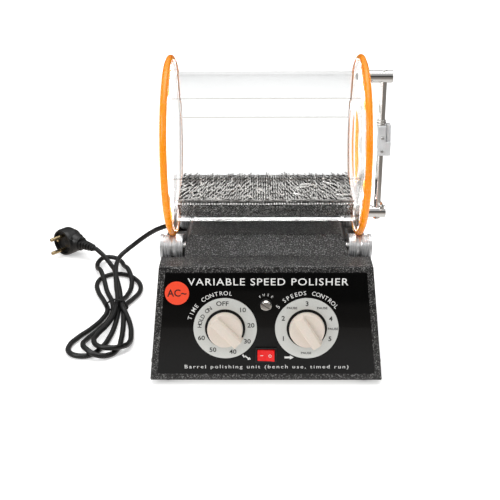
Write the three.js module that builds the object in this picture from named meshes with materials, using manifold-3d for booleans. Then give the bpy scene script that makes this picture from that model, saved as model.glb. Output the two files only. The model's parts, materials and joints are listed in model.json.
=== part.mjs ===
// Rotary tumbler: a hexagonal clear barrel carried on four grooved rollers above a sheet-steel base.
// Millimetres, +Z up, front panel facing -Y, barrel axis along X.
import * as THREE from 'three';
import { mergeVertices } from 'three/addons/utils/BufferGeometryUtils.js';
import Module from 'manifold-3d';

const wasm = await Module();
wasm.setup();

// ---- driving dimensions ----
const GAP = 0.3; // between parts that touch
const FOOT_H = 7, FOOT_R = 9;
const BASE_BOTTOM = [117, 100], BASE_TOP = [105, 83.4]; // half width, half depth
const SKIRT_Z = 5, BASE_Z0 = 9.3, DECK_Z = 123.4, SHEET = 1.5;
const HUMP_FOOT = [86, 59], HUMP_TOP = [78, 37], HUMP_Z = 139;
const NOTCH_X = 81.5, NOTCH_Y = [25, 58.6], NOTCH_Z = 112;
const DRUM_Z = 221, RING_X = 95, RING_R = 88.6, RING_TUBE = 3;
const DISC_R = 87.2, DISC_X = [91, 99], HEX_FLATS = 132.5, HEX_WALL = 3.4, HEX_TURN = -22;
const ROLLER_R = 12.4, GROOVE_R = 10, SHAFT_R = 4, ROLLER_Y = 40.5;
const ROLLER_Z = DRUM_Z - Math.sqrt((RING_R + RING_TUBE + GROOVE_R + GAP) ** 2 - ROLLER_Y ** 2);
const FRAME_X = 68, FRAME_T = 3, FRAME_TOP = 118;
const PULLEY_X = 79.5, PULLEY_R = 12, PULLEY_GROOVE = 10.4, MOTOR_PULLEY_R = 8.6, MOTOR_GROOVE = 7;
const MOTOR = { y: -30, z: 40, r: 26, x: [-62, 14] };
const POST_Z = 71, POST_R = 6.25, POST_END = 125.5, BAR_X = 116.7, BAR_R = 3.5;
const LID_R = 45, LID_T = 6, LID_OPENING = 36;
const DIAL_R = 31.5, DIAL_HOLE = 20, DIAL_X = 40.5, DIAL_S = 54.5, KNOB_R = 17.6, KNOB_H = 11;
const TIMER_REST = 135, SPEED_REST = 147; // pointer, clockwise from twelve o'clock, degrees
const PANEL_T = 1.2, DIAL_T = 1, PANEL_FACE = GAP + PANEL_T;
const ROCKER = { s: 26.5, w: 20, h: 13.8, bezel: 1.8, swing: 14 };
const FUSE = { s: 79.5, r: 5.4 };
const LABEL = { x: -87.5, s: 91, r: 12 };
const SEAL_X = [DISC_X[1] + GAP, DISC_X[1] + GAP + 2], LID_X = [SEAL_X[1] + GAP, SEAL_X[1] + GAP + LID_T];
const BLOCK = { x: [112.6, 121.2], y: 7.5, z: [-8.6, 22] }; // heights above the barrel axis
const LEVER_PIN = [124.4, 2], LEVER_END = 126.7; // x, height above the barrel axis
const MEDIA_LEVEL = 43; // below the barrel axis
const GLAND = [-85, 88.6, 84]; // where the cord leaves the rear wall

// ---- the mains cord, from the gland to the bundle and from there to the plug ----
const CORD_R = 3, HANK_H = 20;
const TIE = { x: [-189, -163], y: [65, 71] };
const CORD_ROUTE = [
  [-85, 117.9, 84], [-86.5, 129, 83.2], [-98, 143, 80], [-116, 156, 74.5], [-132, 170, 65], [-146, 185, 53],
  [-160, 196, 40], [-171, 202, 29.5], [-179, 204, 22],
];
const TAIL_ROUTE = [[-227.5, 215.3, 18.8], [-225.2, 213.5, 18.7], [-222.9, 211.6, 18.4]];
const PLUG = { at: [-265, 244.5, 18.8], turn: -38, r: 18.5 };
const HANK_OUTLINE = [
  [-184, 204], [-189, 213], [-197, 217], [-207, 214], [-216, 198], [-219, 150], [-206, 108],
  [-193, 68], [-203, 30], [-216, -8], [-218, -34], [-205, -52], [-184, -54], [-161, -47],
  [-146, -20], [-147, 28], [-159, 66], [-146, 96], [-145, 122], [-154, 144], [-172, 172], [-180, 190],
];

// ---- materials ----
const finish = (color, roughness, metalness = 0) =>
  new THREE.MeshStandardMaterial({ color, roughness, metalness });
const HAMMERTONE = finish(0x3a3938, 0.5, 0.4);
const GLOSS_BLACK = finish(0x101010, 0.2);
const PLAIN_STEEL = finish(0x9a9a98, 0.4, 0.8);
const CHROME = finish(0xd6d6d4, 0.15, 1);
const ALUMINIUM = finish(0xcfd0d0, 0.3, 0.9);
const ACRYLIC = finish(0xe8f0f2, 0.05);
const ORANGE = finish(0xff8210, 0.45);
const RUBBER = finish(0x141414, 0.7);
const DIAL = finish(0xd8d9d4, 0.4, 0.4);
const IVORY = finish(0xd9cdc0, 0.5);
const RED = finish(0xf01010, 0.3);
const STICKER = finish(0xff5014, 0.5);
const STEEL_PINS = finish(0x8a8a88, 0.3, 0.9);
const WHITE_RUBBER = finish(0xeeeeea, 0.6);
const BOARD = finish(0x1d5a38, 0.5);
const BRASS = finish(0xc9a860, 0.3, 0.9);

// ---- solids ----
function solid(geometry) {
  const clean = geometry.index ? geometry.clone() : geometry;
  for (const name of ['normal', 'uv']) clean.deleteAttribute(name);
  const merged = mergeVertices(clean, 1e-4);
  const vertProperties = new Float32Array(merged.attributes.position.array);
  const triVerts = new Uint32Array(merged.index.array);
  return new wasm.Manifold(new wasm.Mesh({ numProp: 3, vertProperties, triVerts }));
}

function geometryOf(body) {
  const mesh = body.getMesh();
  const geometry = new THREE.BufferGeometry();
  geometry.setAttribute('position', new THREE.BufferAttribute(mesh.vertProperties, 3));
  geometry.setIndex(new THREE.BufferAttribute(mesh.triVerts, 1));
  return geometry;
}

const cut = (body, ...tools) => tools.reduce((left, tool) => left.subtract(tool), body);
const join = (body, ...others) => others.reduce((left, other) => left.add(other), body);

function box(x0, x1, y0, y1, z0, z1) {
  const geometry = new THREE.BoxGeometry(x1 - x0, y1 - y0, z1 - z0);
  return solid(geometry.translate((x0 + x1) / 2, (y0 + y1) / 2, (z0 + z1) / 2));
}

// A round bar along X, or along Y or Z when told so.
function rod(radius, from, to, [a, b], along = 'x', sides = 24) {
  const geometry = new THREE.CylinderGeometry(radius, radius, to - from, sides);
  const middle = (from + to) / 2;
  if (along === 'x') geometry.rotateZ(Math.PI / 2).translate(middle, a, b);
  if (along === 'y') geometry.translate(a, middle, b);
  if (along === 'z') geometry.rotateX(Math.PI / 2).translate(a, b, middle);
  return solid(geometry);
}

// A solid of revolution about the X axis from a closed loop of [x, radius] points, moved to (y, z).
function turned(profile, y, z, sides = 24) {
  const points = profile.map(([x, r]) => new THREE.Vector2(r, x));
  if (THREE.ShapeUtils.isClockWise(points)) points.reverse();
  const geometry = new THREE.LatheGeometry([...points, points[0]], sides);
  return solid(geometry.rotateZ(-Math.PI / 2).translate(0, y, z));
}

// A block whose rectangular section changes from one half-size to another as it rises.
function frustum([x0, y0], z0, [x1, y1], z1) {
  const geometry = new THREE.BoxGeometry(2, 2, 2);
  const at = geometry.attributes.position;
  for (let i = 0; i < at.count; i += 1) {
    const top = at.getZ(i) > 0;
    at.setXYZ(i, at.getX(i) * (top ? x1 : x0), at.getY(i) * (top ? y1 : y0), top ? z1 : z0);
  }
  return solid(geometry);
}

function hexagon(acrossFlats, from, to) {
  const radius = acrossFlats / Math.sqrt(3);
  const geometry = new THREE.CylinderGeometry(radius, radius, to - from, 6);
  geometry.rotateZ(Math.PI / 2).rotateX(THREE.MathUtils.degToRad(HEX_TURN));
  return solid(geometry.translate((from + to) / 2, 0, DRUM_Z));
}

function torus(x, centre, tube, y, z, around = 48, section = 8) {
  const geometry = new THREE.TorusGeometry(centre, tube, section, around);
  return solid(geometry.rotateY(Math.PI / 2).translate(x, y, z));
}

function extruded(shape, depth, curveSegments = 12) {
  return new THREE.ExtrudeGeometry(shape, { depth, bevelEnabled: false, curveSegments });
}

function tube(points, radius, steps, sides = 8) {
  const path = new THREE.CatmullRomCurve3(points.map((p) => new THREE.Vector3(...p)));
  const section = new THREE.Shape();
  for (let i = 0; i < sides; i += 1) {
    const angle = (2 * Math.PI * i) / sides;
    const [x, y] = [radius * Math.cos(angle), radius * Math.sin(angle)];
    if (i === 0) section.moveTo(x, y);
    else section.lineTo(x, y);
  }
  return new THREE.ExtrudeGeometry(section, { steps, extrudePath: path, bevelEnabled: false });
}

const rest = new THREE.Group();
const cords = new THREE.Group();

function add(name, body, material, parent = rest) {
  const mesh = new THREE.Mesh(body.isBufferGeometry ? body : geometryOf(body), material);
  mesh.name = name;
  parent.add(mesh);
  return mesh;
}

// ---- the front panel's own frame: x right, y up the sloping face, z out of it ----
const DRAFT = Math.atan2(BASE_BOTTOM[1] - BASE_TOP[1], DECK_Z - FOOT_H);
const panelFrame = new THREE.Matrix4()
  .makeTranslation(0, -BASE_BOTTOM[1], FOOT_H)
  .multiply(new THREE.Matrix4().makeRotationX(Math.PI / 2 - DRAFT));
const onPanel = (geometry) => solid(geometry.applyMatrix4(panelFrame));
const panelRod = (radius, x, s, z0, z1, sides = 20) =>
  onPanel(new THREE.CylinderGeometry(radius, radius, z1 - z0, sides)
    .rotateX(Math.PI / 2).translate(x, s, (z0 + z1) / 2));
const panelBox = (x0, x1, s0, s1, z0, z1) =>
  onPanel(new THREE.BoxGeometry(x1 - x0, s1 - s0, z1 - z0)
    .translate((x0 + x1) / 2, (s0 + s1) / 2, (z0 + z1) / 2));

function panelHoles(z0, z1) {
  const spindles = [-DIAL_X, DIAL_X].map((x) => panelRod(4.5, x, DIAL_S, z0, z1));
  const { s, w, h } = ROCKER;
  const half = [w / 2 + GAP, h / 2 + GAP];
  const rocker = panelBox(-half[0], half[0], s - half[1], s + half[1], z0, z1);
  return [...spindles, rocker, panelRod(4.3, 0, FUSE.s, z0, z1)];
}

// The base's half width and half depth at a height.
const baseHalf = (z) => BASE_BOTTOM.map((v, i) =>
  v - ((v - BASE_TOP[i]) * (z - FOOT_H)) / (DECK_Z - FOOT_H));

function baseShell() {
  const inner = (half) => half.map((v) => v - SHEET);
  const outer = join(
    frustum(baseHalf(SKIRT_Z), SKIRT_Z, BASE_TOP, DECK_Z),
    frustum(HUMP_FOOT, DECK_Z - 0.01, HUMP_TOP, HUMP_Z),
  );
  const hollow = join(
    frustum(inner(baseHalf(SKIRT_Z - 1)), SKIRT_Z - 1, inner(baseHalf(DECK_Z - SHEET)), DECK_Z - SHEET),
    frustum(inner(HUMP_FOOT), DECK_Z - SHEET - 0.01, inner(HUMP_TOP), HUMP_Z - SHEET),
  );
  const notches = [];
  for (const side of [-1, 1]) {
    for (const end of [-1, 1]) {
      const driven = side < 0 && end > 0;
      const near = side * (driven ? 73 : NOTCH_X);
      const reach = end * (driven ? 12 : NOTCH_Y[0]);
      const [x0, x1] = [near, side * 130].sort((a, b) => a - b);
      const [y0, y1] = [reach, end * NOTCH_Y[1]].sort((a, b) => a - b);
      notches.push(box(x0, x1, y0, y1, NOTCH_Z, 150));
      const [from, to] = [side * 74, side * 90].sort((a, b) => a - b);
      notches.push(rod(SHAFT_R + 1.2, from, to, [end * ROLLER_Y, ROLLER_Z]));
    }
  }
  const vents = [];
  for (let i = 0; i < 7; i += 1) {
    vents.push(box(30 + i * 8, 33.5 + i * 8, 70, 110, 40, 75));
  }
  const gland = rod(7.2, 70, 120, [GLAND[0], GLAND[2]], 'y', 20);
  const shell = cut(outer, hollow, ...notches, ...panelHoles(-6, 6), ...vents, gland);
  add('base_cover', shell, HAMMERTONE);
}

function underside() {
  add('bottom_plate', box(-114, 114, -96.8, 96.8, FOOT_H, BASE_Z0 - GAP), PLAIN_STEEL);
  for (const [x, column] of [[-1, 'left'], [1, 'right']]) {
    for (const [y, row] of [[-1, 'front'], [1, 'rear']]) {
      const geometry = new THREE.CylinderGeometry(FOOT_R, FOOT_R - 1.5, FOOT_H - GAP, 24);
      geometry.rotateX(Math.PI / 2).translate(x * 100, y * 84, (FOOT_H - GAP) / 2);
      add(`foot_${row}_${column}`, solid(geometry), RUBBER);
    }
  }
}

function controlPanel() {
  const [s0, s1] = [6, DECK_Z - FOOT_H - 5];
  const half = (s) => BASE_BOTTOM[0] - 7 - ((BASE_BOTTOM[0] - BASE_TOP[0]) * s) / 117.6;
  const outline = new THREE.Shape([
    new THREE.Vector2(-half(s0), s0), new THREE.Vector2(half(s0), s0),
    new THREE.Vector2(half(s1), s1), new THREE.Vector2(-half(s1), s1),
  ]);
  const plate = onPanel(extruded(outline, PANEL_T).translate(0, 0, GAP));
  add('control_panel', cut(plate, ...panelHoles(-6, 6)), GLOSS_BLACK);
}

function dial(name, x) {
  const z = PANEL_FACE + GAP;
  const plate = panelRod(DIAL_R, x, DIAL_S, z, z + DIAL_T, 40);
  add(`${name}_dial`, cut(plate, panelRod(DIAL_HOLE, x, DIAL_S, z - 1, z + 2, 32)), DIAL);
}

// A pointer knob: a round skirt with a grip bar across it, and its spindle behind.
function knob(name, x, pointer) {
  const z = PANEL_FACE + 2.4;
  const skirt = panelRod(KNOB_R, x, DIAL_S, z, z + KNOB_H - 3, 32);
  const grip = new THREE.BoxGeometry(11, 2 * KNOB_R + 2, 7);
  grip.translate(0, 1.2, z + KNOB_H - 0.5);
  grip.rotateZ(-THREE.MathUtils.degToRad(pointer)).translate(x, DIAL_S, 0);
  const spindle = panelRod(3, x, DIAL_S, -7, z + 0.5, 12);
  add(`${name}_knob`, join(skirt, onPanel(grip), spindle), IVORY);
}

function behindPanel() {
  for (const [name, x, depth] of [['timer_mechanism', -DIAL_X, 26], ['speed_switch', DIAL_X, 22]]) {
    const body = panelBox(x - 19, x + 19, DIAL_S - 19, DIAL_S + 19, -2.2 - depth, -2.2);
    add(name, cut(body, panelRod(3.5, x, DIAL_S, -12, 0, 12)), PLAIN_STEEL);
  }
  const { s, w, h, bezel } = ROCKER;
  const z = PANEL_FACE + GAP;
  const flange = panelBox(-w / 2 - 2, w / 2 + 2, s - h / 2 - 2, s + h / 2 + 2, z, z + bezel);
  const body = panelBox(-w / 2, w / 2, s - h / 2, s + h / 2, -16, z + 0.5);
  const well = panelBox(-w / 2 + 0.8, w / 2 - 0.8, s - h / 2 + 0.8, s + h / 2 - 0.8, -6, z + 5);
  add('switch_housing', cut(join(flange, body), well), RUBBER);
  add('rocker_button', rockerButton(s, w - 3, h - 2.4, z + bezel), RED);
  const barrel = join(panelRod(4, 0, FUSE.s, -24, z + 0.5, 24), panelRod(6, 0, FUSE.s, z, z + 1.4, 32));
  add('fuse_holder', cut(barrel, panelRod(3.2, 0, FUSE.s, -20, z + 3, 24)), RUBBER);
  const cap = panelRod(FUSE.r, 0, FUSE.s, z + 1.4 + GAP, z + 7, 32);
  const slot = panelBox(-4.2, 4.2, FUSE.s - 0.6, FUSE.s + 0.6, z + 5.8, z + 8);
  const stem = panelRod(2.9, 0, FUSE.s, -4, z + 2.2, 24);
  add('fuse_cap', join(cut(cap, slot), stem), CHROME);
  const label = panelRod(LABEL.r, LABEL.x, LABEL.s, PANEL_FACE + GAP, PANEL_FACE + GAP + 0.4, 48);
  add('voltage_label', label, STICKER);
}

// Two shallow slopes that meet on the tilt axis, the left one pressed in.
function rockerButton(s, w, h, z) {
  const rise = Math.tan(THREE.MathUtils.degToRad(ROCKER.swing)) * (w / 2);
  const side = new THREE.Shape([
    new THREE.Vector2(-w / 2 + 1.8, -4), new THREE.Vector2(w / 2 - 1.8, -4),
    new THREE.Vector2(w / 2, 0), new THREE.Vector2(w / 2, rise + 0.9),
    new THREE.Vector2(0, 0.9), new THREE.Vector2(-w / 2, 0.9), new THREE.Vector2(-w / 2, 0),
  ]);
  return onPanel(extruded(side, h).rotateX(Math.PI / 2).translate(0, s + h / 2, z));
}

function innerFrame() {
  for (const [x, name] of [[-FRAME_X, 'left'], [FRAME_X, 'right']]) {
    const plate = box(x - FRAME_T / 2, x + FRAME_T / 2, -58, 58, BASE_Z0 + GAP, FRAME_TOP);
    const openings = [box(x - 5, x + 5, -26, 40, 75, 105)];
    if (x < 0) openings.push(rod(8, x - 5, x + 5, [MOTOR.y, MOTOR.z]));
    add(`side_frame_${name}`, cut(plate, ...openings), PLAIN_STEEL);
    for (const [y, row] of [[-ROLLER_Y, 'front'], [ROLLER_Y, 'rear']]) {
      const block = box(x - 5, x + 5, y - 8, y + 8, FRAME_TOP + GAP, ROLLER_Z + 0.5);
      const bore = rod(SHAFT_R + GAP, x - 9, x + 9, [y, ROLLER_Z]);
      add(`bearing_${row}_${name}`, cut(block, bore), IVORY);
    }
  }
}

function roller(name, y, side) {
  const profile = [
    [84, SHAFT_R + GAP], [84, ROLLER_R - 0.8], [84.8, ROLLER_R], [91.6, ROLLER_R], [92.6, ROLLER_R - 1.2],
    [93, GROOVE_R + 0.6], [94, GROOVE_R], [96, GROOVE_R], [97, GROOVE_R + 0.6], [97.4, ROLLER_R - 0.9],
    [103.4, ROLLER_R - 0.9], [103.8, ROLLER_R], [106.2, ROLLER_R], [107, ROLLER_R - 0.8],
    [107, SHAFT_R + GAP],
  ];
  add(name, turned(profile.map(([x, r]) => [side * x, r]), y, ROLLER_Z), ALUMINIUM);
}

function drive() {
  for (const [y, row] of [[-ROLLER_Y, 'front'], [ROLLER_Y, 'rear']]) {
    add(`${row}_shaft`, rod(SHAFT_R, -106.4, 106.4, [y, ROLLER_Z], 'x', 24), CHROME);
    for (const [side, name] of [[-1, 'left'], [1, 'right']]) roller(`roller_${row}_${name}`, y, side);
  }
  const grooved = (half, r, groove, bore) => [
    [-PULLEY_X - half, bore], [-PULLEY_X - half, r], [-PULLEY_X - 2.4, r], [-PULLEY_X - 1.4, groove],
    [-PULLEY_X + 1.4, groove], [-PULLEY_X + 2.4, r], [-PULLEY_X + half, r], [-PULLEY_X + half, bore],
  ];
  const shaftPulley = turned(grooved(3.8, PULLEY_R, PULLEY_GROOVE, SHAFT_R + GAP),
    ROLLER_Y, ROLLER_Z);
  add('shaft_pulley', shaftPulley, ALUMINIUM);
  const rim = turned(grooved(4.5, MOTOR_PULLEY_R, MOTOR_GROOVE, 2), MOTOR.y, MOTOR.z);
  const spindle = rod(2.5, -85, -50, [MOTOR.y, MOTOR.z], 'x', 20);
  add('motor_pulley', join(rim, spindle), BRASS);
  motor();
  belt();
}

function motor() {
  const { y, z, r, x } = MOTOR;
  const body = join(rod(r, x[0], x[1], [y, z], 'x', 40), rod(8, x[0] - 3, x[0] + 1, [y, z], 'x', 24));
  add('motor', cut(body, rod(2.8, x[0] - 5, x[0] + 14, [y, z], 'x', 20)), PLAIN_STEEL);
  const cradle = join(
    box(x[0] + 6, x[1] - 6, y - 20, y + 20, BASE_Z0 + GAP, 18),
    box(x[0] + 6, x[1] - 6, y + 16, y + 46, BASE_Z0 + GAP, 12),
  );
  add('motor_cradle', cut(cradle, rod(r + GAP, x[0], x[1], [y, z], 'x', 40)), PLAIN_STEEL);
  add('control_board', box(20, 62, -20, 18, 24, 26), BOARD);
}

// A flat loop round the two pulleys, tangent to both.
function belt() {
  const from = new THREE.Vector2(ROLLER_Y, ROLLER_Z), to = new THREE.Vector2(MOTOR.y, MOTOR.z);
  const along = Math.atan2(to.y - from.y, to.x - from.x);
  const lean = Math.asin((PULLEY_GROOVE - MOTOR_GROOVE) / from.distanceTo(to));
  const loop = (shape, extra) => {
    const arc = Math.PI / 2 - lean;
    shape.absarc(to.x, to.y, MOTOR_GROOVE + extra, along - arc, along + arc, false);
    shape.absarc(from.x, from.y, PULLEY_GROOVE + extra, along + arc, along - arc + 2 * Math.PI, false);
    return shape;
  };
  const outline = loop(new THREE.Shape(), GAP + 1.2);
  outline.holes.push(loop(new THREE.Path(), GAP));
  const geometry = extruded(outline, 2.4, 14);
  geometry.rotateX(Math.PI / 2).rotateZ(Math.PI / 2).translate(-PULLEY_X - 1.2, 0, 0);
  add('drive_belt', solid(geometry), RUBBER);
}

function endDisc(name, side, opening) {
  const [x0, x1] = DISC_X, groove = RING_TUBE + GAP;
  const points = [[x0, 0], [x0, DISC_R]];
  for (let i = 0; i <= 6; i += 1) {
    const angle = Math.PI - (Math.PI * i) / 6;
    const [dx, dr] = [groove * Math.cos(angle), groove * Math.sin(angle)];
    const r = RING_R - dr;
    if (r < DISC_R) points.push([RING_X + dx, r]);
  }
  points.push([x1, DISC_R], [x1, 0]);
  const profile = side > 0 ? points : points.map(([x, r]) => [-x, r]).reverse();
  const geometry = new THREE.LatheGeometry(profile.map(([x, r]) => new THREE.Vector2(r, x)), 48);
  const disc = solid(geometry.rotateZ(-Math.PI / 2).translate(0, 0, DRUM_Z));
  add(name, opening ? cut(disc, rod(opening, 80, 110, [0, DRUM_Z], 'x', 40)) : disc, ACRYLIC);
}

function barrel() {
  const reach = DISC_X[0] - GAP;
  const walls = cut(hexagon(HEX_FLATS, -reach, reach),
    hexagon(HEX_FLATS - 2 * HEX_WALL, -reach - 1, reach + 1));
  add('barrel', walls, ACRYLIC);
  endDisc('end_disc_left', -1, 0);
  endDisc('end_disc_right', 1, LID_OPENING);
  for (const [side, name] of [[-1, 'left'], [1, 'right']]) {
    add(`drive_ring_${name}`, torus(side * RING_X, RING_R, RING_TUBE, 0, DRUM_Z), ORANGE);
  }
}

function lid() {
  const seal = rod(LID_R - 5, ...SEAL_X, [0, DRUM_Z], 'x', 40);
  add('lid_seal', cut(seal, rod(LID_R - 12, 90, 110, [0, DRUM_Z], 'x', 40)), WHITE_RUBBER);
  add('lid', rod(LID_R, ...LID_X, [0, DRUM_Z], 'x', 40), ACRYLIC);
  const pad = rod(9, LID_X[1] + GAP, LID_X[1] + GAP + 2, [0, DRUM_Z], 'x', 28);
  add('lid_pressure_plate', pad, CHROME);
}

function clamp() {
  const bore = rod(BAR_R + GAP, -90, 90, [BAR_X, 0], 'z', 24).translate([0, 0, DRUM_Z]);
  const post = (z) => join(
    rod(POST_R, DISC_X[1] + GAP, POST_END - 0.8, [0, z], 'x', 32),
    rod(POST_R - 0.8, POST_END - 1, POST_END, [0, z], 'x', 32),
  );
  add('pivot_post', cut(post(DRUM_Z + POST_Z), bore), CHROME);
  const slot = box(BAR_X - BAR_R - GAP, BAR_X + BAR_R + GAP, 0, 10, 100, DRUM_Z - 50);
  add('latch_post', cut(post(DRUM_Z - POST_Z), bore, slot), CHROME);
  add('clamp_bar', rod(BAR_R, DRUM_Z - POST_Z - 7.5, DRUM_Z + POST_Z + 4, [BAR_X, 0], 'z', 24), CHROME);
  clampBlock(bore);
}

function clampBlock(bore) {
  const { x, y, z } = BLOCK;
  const pin = rod(2.8, 100, x[1] + 1, [0, DRUM_Z], 'x', 20);
  const lugs = [-1, 1].map((s) => {
    const [y0, y1] = [s * (y - 2.4), s * y].sort((a, b) => a - b);
    return box(x[1] - 0.5, LEVER_END - GAP, y0, y1, DRUM_Z + z[0], DRUM_Z + 6);
  });
  const hole = rod(1.2, -9, 9, [LEVER_PIN[0], DRUM_Z + LEVER_PIN[1]], 'y', 20);
  const block = join(box(...x, -y, y, DRUM_Z + z[0], DRUM_Z + z[1]), ...lugs);
  add('clamp_block', cut(block, bore, pin, hole), ALUMINIUM);
  add('pressure_pin', pressurePin(), CHROME);
  const heel = DRUM_Z + LEVER_PIN[1] - 2;
  const lever = box(x[1] + 0.9, LEVER_END, -y + 2.8, y - 2.8, heel, DRUM_Z + z[1] + 1);
  add('clamp_lever', cut(lever, hole), ALUMINIUM);
}

// The pin stops short of the clamp bar, which fills the middle of the block.
function pressurePin() {
  const tip = LID_X[1] + 2 + 2 * GAP;
  return rod(2.5, tip, BAR_X - BAR_R - GAP, [0, DRUM_Z], 'x', 20);
}

// The load lies inside the circle that the hexagon never enters; the barrel carries the pins in its lowest corner.
function media() {
  const reach = HEX_FLATS / 2 - HEX_WALL - 1;
  const pile = rod(reach, -DISC_X[0] + 1.5, DISC_X[0] - 1.5, [0, DRUM_Z], 'x', 40);
  const above = box(-100, 100, -80, 80, DRUM_Z - MEDIA_LEVEL, DRUM_Z + 80);
  add('polishing_media', cut(pile, above), STEEL_PINS);
  const corners = cut(hexagon(HEX_FLATS - 2 * (HEX_WALL + GAP), -DISC_X[0] + 1.5, DISC_X[0] - 1.5),
    rod(reach + 1.25, -100, 100, [0, DRUM_Z], 'x', 60), above);
  add('corner_pins', cut(corners, box(-100, 100, 8, 90, 100, 300)), STEEL_PINS);
}

// ---- the mains cord, its loops tied in a bundle behind the left of the base ----
function cordAndPlug() {
  add('cord_tube', solid(tube(CORD_ROUTE, CORD_R, 16)), RUBBER, cords);
  const outline = new THREE.Shape();
  outline.moveTo(...HANK_OUTLINE[0]);
  outline.splineThru([...HANK_OUTLINE.slice(1), HANK_OUTLINE[0]].map((p) => new THREE.Vector2(...p)));
  const hank = solid(extruded(outline, HANK_H - GAP, 2).translate(0, 0, GAP));
  const waist = [[TIE.x[0] - 18, TIE.x[0]], [TIE.x[1], TIE.x[1] + 18]].map(([x0, x1]) =>
    box(x0, x1, TIE.y[0] - 1, TIE.y[1] + 1, 0, HANK_H + 10));
  add('cord_hank', cut(hank, ...waist, tieBand(GAP)), RUBBER, cords);
  add('cord_tie', tieBand(), RUBBER, cords);
  plug();
}

// A thin band round the middle of the bundle, grown on every side to make room for itself.
function tieBand(grow = 0) {
  const { x, y } = TIE;
  const outer = box(x[0] - grow, x[1] + grow, y[0] - grow, y[1] + grow, 0.2 - grow, HANK_H + 2 + grow);
  const inner = box(x[0] + 1 + grow, x[1] - 1 - grow, y[0] - 5, y[1] + 5, 1.2 + grow, HANK_H + 1 - grow);
  return cut(outer, inner);
}

function plug() {
  const place = new THREE.Matrix4().makeTranslation(...PLUG.at)
    .multiply(new THREE.Matrix4().makeRotationZ(THREE.MathUtils.degToRad(PLUG.turn)));
  const put = (geometry) => solid(geometry.applyMatrix4(place));
  const disc = (r0, r1, y0, y1) => put(new THREE.CylinderGeometry(r1, r0, y1 - y0, 28)
    .translate(0, (y0 + y1) / 2, 0));
  const along = (r0, r1, x0, x1, sides) => put(new THREE.CylinderGeometry(r1, r0, x1 - x0, sides)
    .rotateZ(-Math.PI / 2).translate((x0 + x1) / 2, 0, 0));
  const pins = [-9.5, 9.5].map((z) => put(new THREE.CylinderGeometry(2.4, 2.4, 23, 16)
    .translate(0, -21.5, z)));
  const holes = [-9.5, 9.5].map((z) => put(new THREE.CylinderGeometry(2.7, 2.7, 8, 16)
    .translate(0, -13, z)));
  const body = join(disc(PLUG.r, PLUG.r, -14, 2), disc(PLUG.r, 12, 2, 12), along(13, 9.5, 6, 24, 16));
  add('plug_body', cut(body, ...holes), RUBBER, cords);
  add('plug_pin_upper', pins[1], BRASS, cords);
  add('plug_pin_lower', pins[0], BRASS, cords);
  const ribs = [];
  for (let i = 0; i < 5; i += 1) ribs.push(along(7.4 - i * 0.6, 7.1 - i * 0.6, 26 + i * 4.6, 29 + i * 4.6, 12));
  const core = along(5.6, 4, 24 + GAP, 48.8, 12);
  const tail = solid(tube(TAIL_ROUTE, CORD_R, 4));
  add('plug_strain_relief', join(core, ...ribs, tail), RUBBER, cords);
}

function cordGland() {
  const [x, y, z] = GLAND;
  const nut = rod(10, y + 2.4, y + 7.5, [x, z], 'y', 6);
  const taper = new THREE.CylinderGeometry(4.6, 7, 21.5, 16).translate(x, y + 17.75, z);
  const thread = rod(6.6, y - 9, y + 3, [x, z], 'y', 16);
  add('cord_gland', join(nut, solid(taper), thread), RUBBER);
}

// ---- assembly ----
baseShell();
underside();
controlPanel();
dial('timer', -DIAL_X);
dial('speed', DIAL_X);
knob('timer', -DIAL_X, TIMER_REST);
knob('speed', DIAL_X, SPEED_REST);
behindPanel();
innerFrame();
drive();
barrel();
lid();
clamp();
media();
cordGland();
cordAndPlug();

// The origin is at the middle of the footprint, on the surface that the feet stand on.
const extent = new THREE.Box3().setFromObject(rest);
const middle = extent.getCenter(new THREE.Vector3());
const tumbler = new THREE.Group();
tumbler.add(rest, cords);
tumbler.position.set(-middle.x, -middle.y, 0);
export default tumbler;
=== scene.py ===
import json
import random
from math import asin, atan2, copysign, cos, hypot, pi, radians, sin, sqrt, tan

import bmesh
import bpy
from mathutils import Matrix, Vector


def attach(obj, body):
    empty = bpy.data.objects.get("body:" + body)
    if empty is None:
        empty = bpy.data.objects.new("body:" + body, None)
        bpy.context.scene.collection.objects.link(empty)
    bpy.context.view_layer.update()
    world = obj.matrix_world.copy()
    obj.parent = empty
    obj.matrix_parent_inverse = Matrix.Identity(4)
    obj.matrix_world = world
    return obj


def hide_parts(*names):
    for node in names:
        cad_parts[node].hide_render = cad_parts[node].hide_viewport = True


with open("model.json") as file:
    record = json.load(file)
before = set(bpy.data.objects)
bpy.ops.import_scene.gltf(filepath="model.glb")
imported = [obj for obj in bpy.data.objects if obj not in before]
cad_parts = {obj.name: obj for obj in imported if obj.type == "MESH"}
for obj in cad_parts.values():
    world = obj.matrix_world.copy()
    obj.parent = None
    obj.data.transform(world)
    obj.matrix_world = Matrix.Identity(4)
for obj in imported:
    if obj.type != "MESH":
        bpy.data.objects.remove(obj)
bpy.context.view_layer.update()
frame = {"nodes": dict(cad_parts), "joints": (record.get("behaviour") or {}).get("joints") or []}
NODES = frame["nodes"]
JOINTS = {joint["name"]: joint for joint in frame["joints"]}
random.seed(7)

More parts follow.
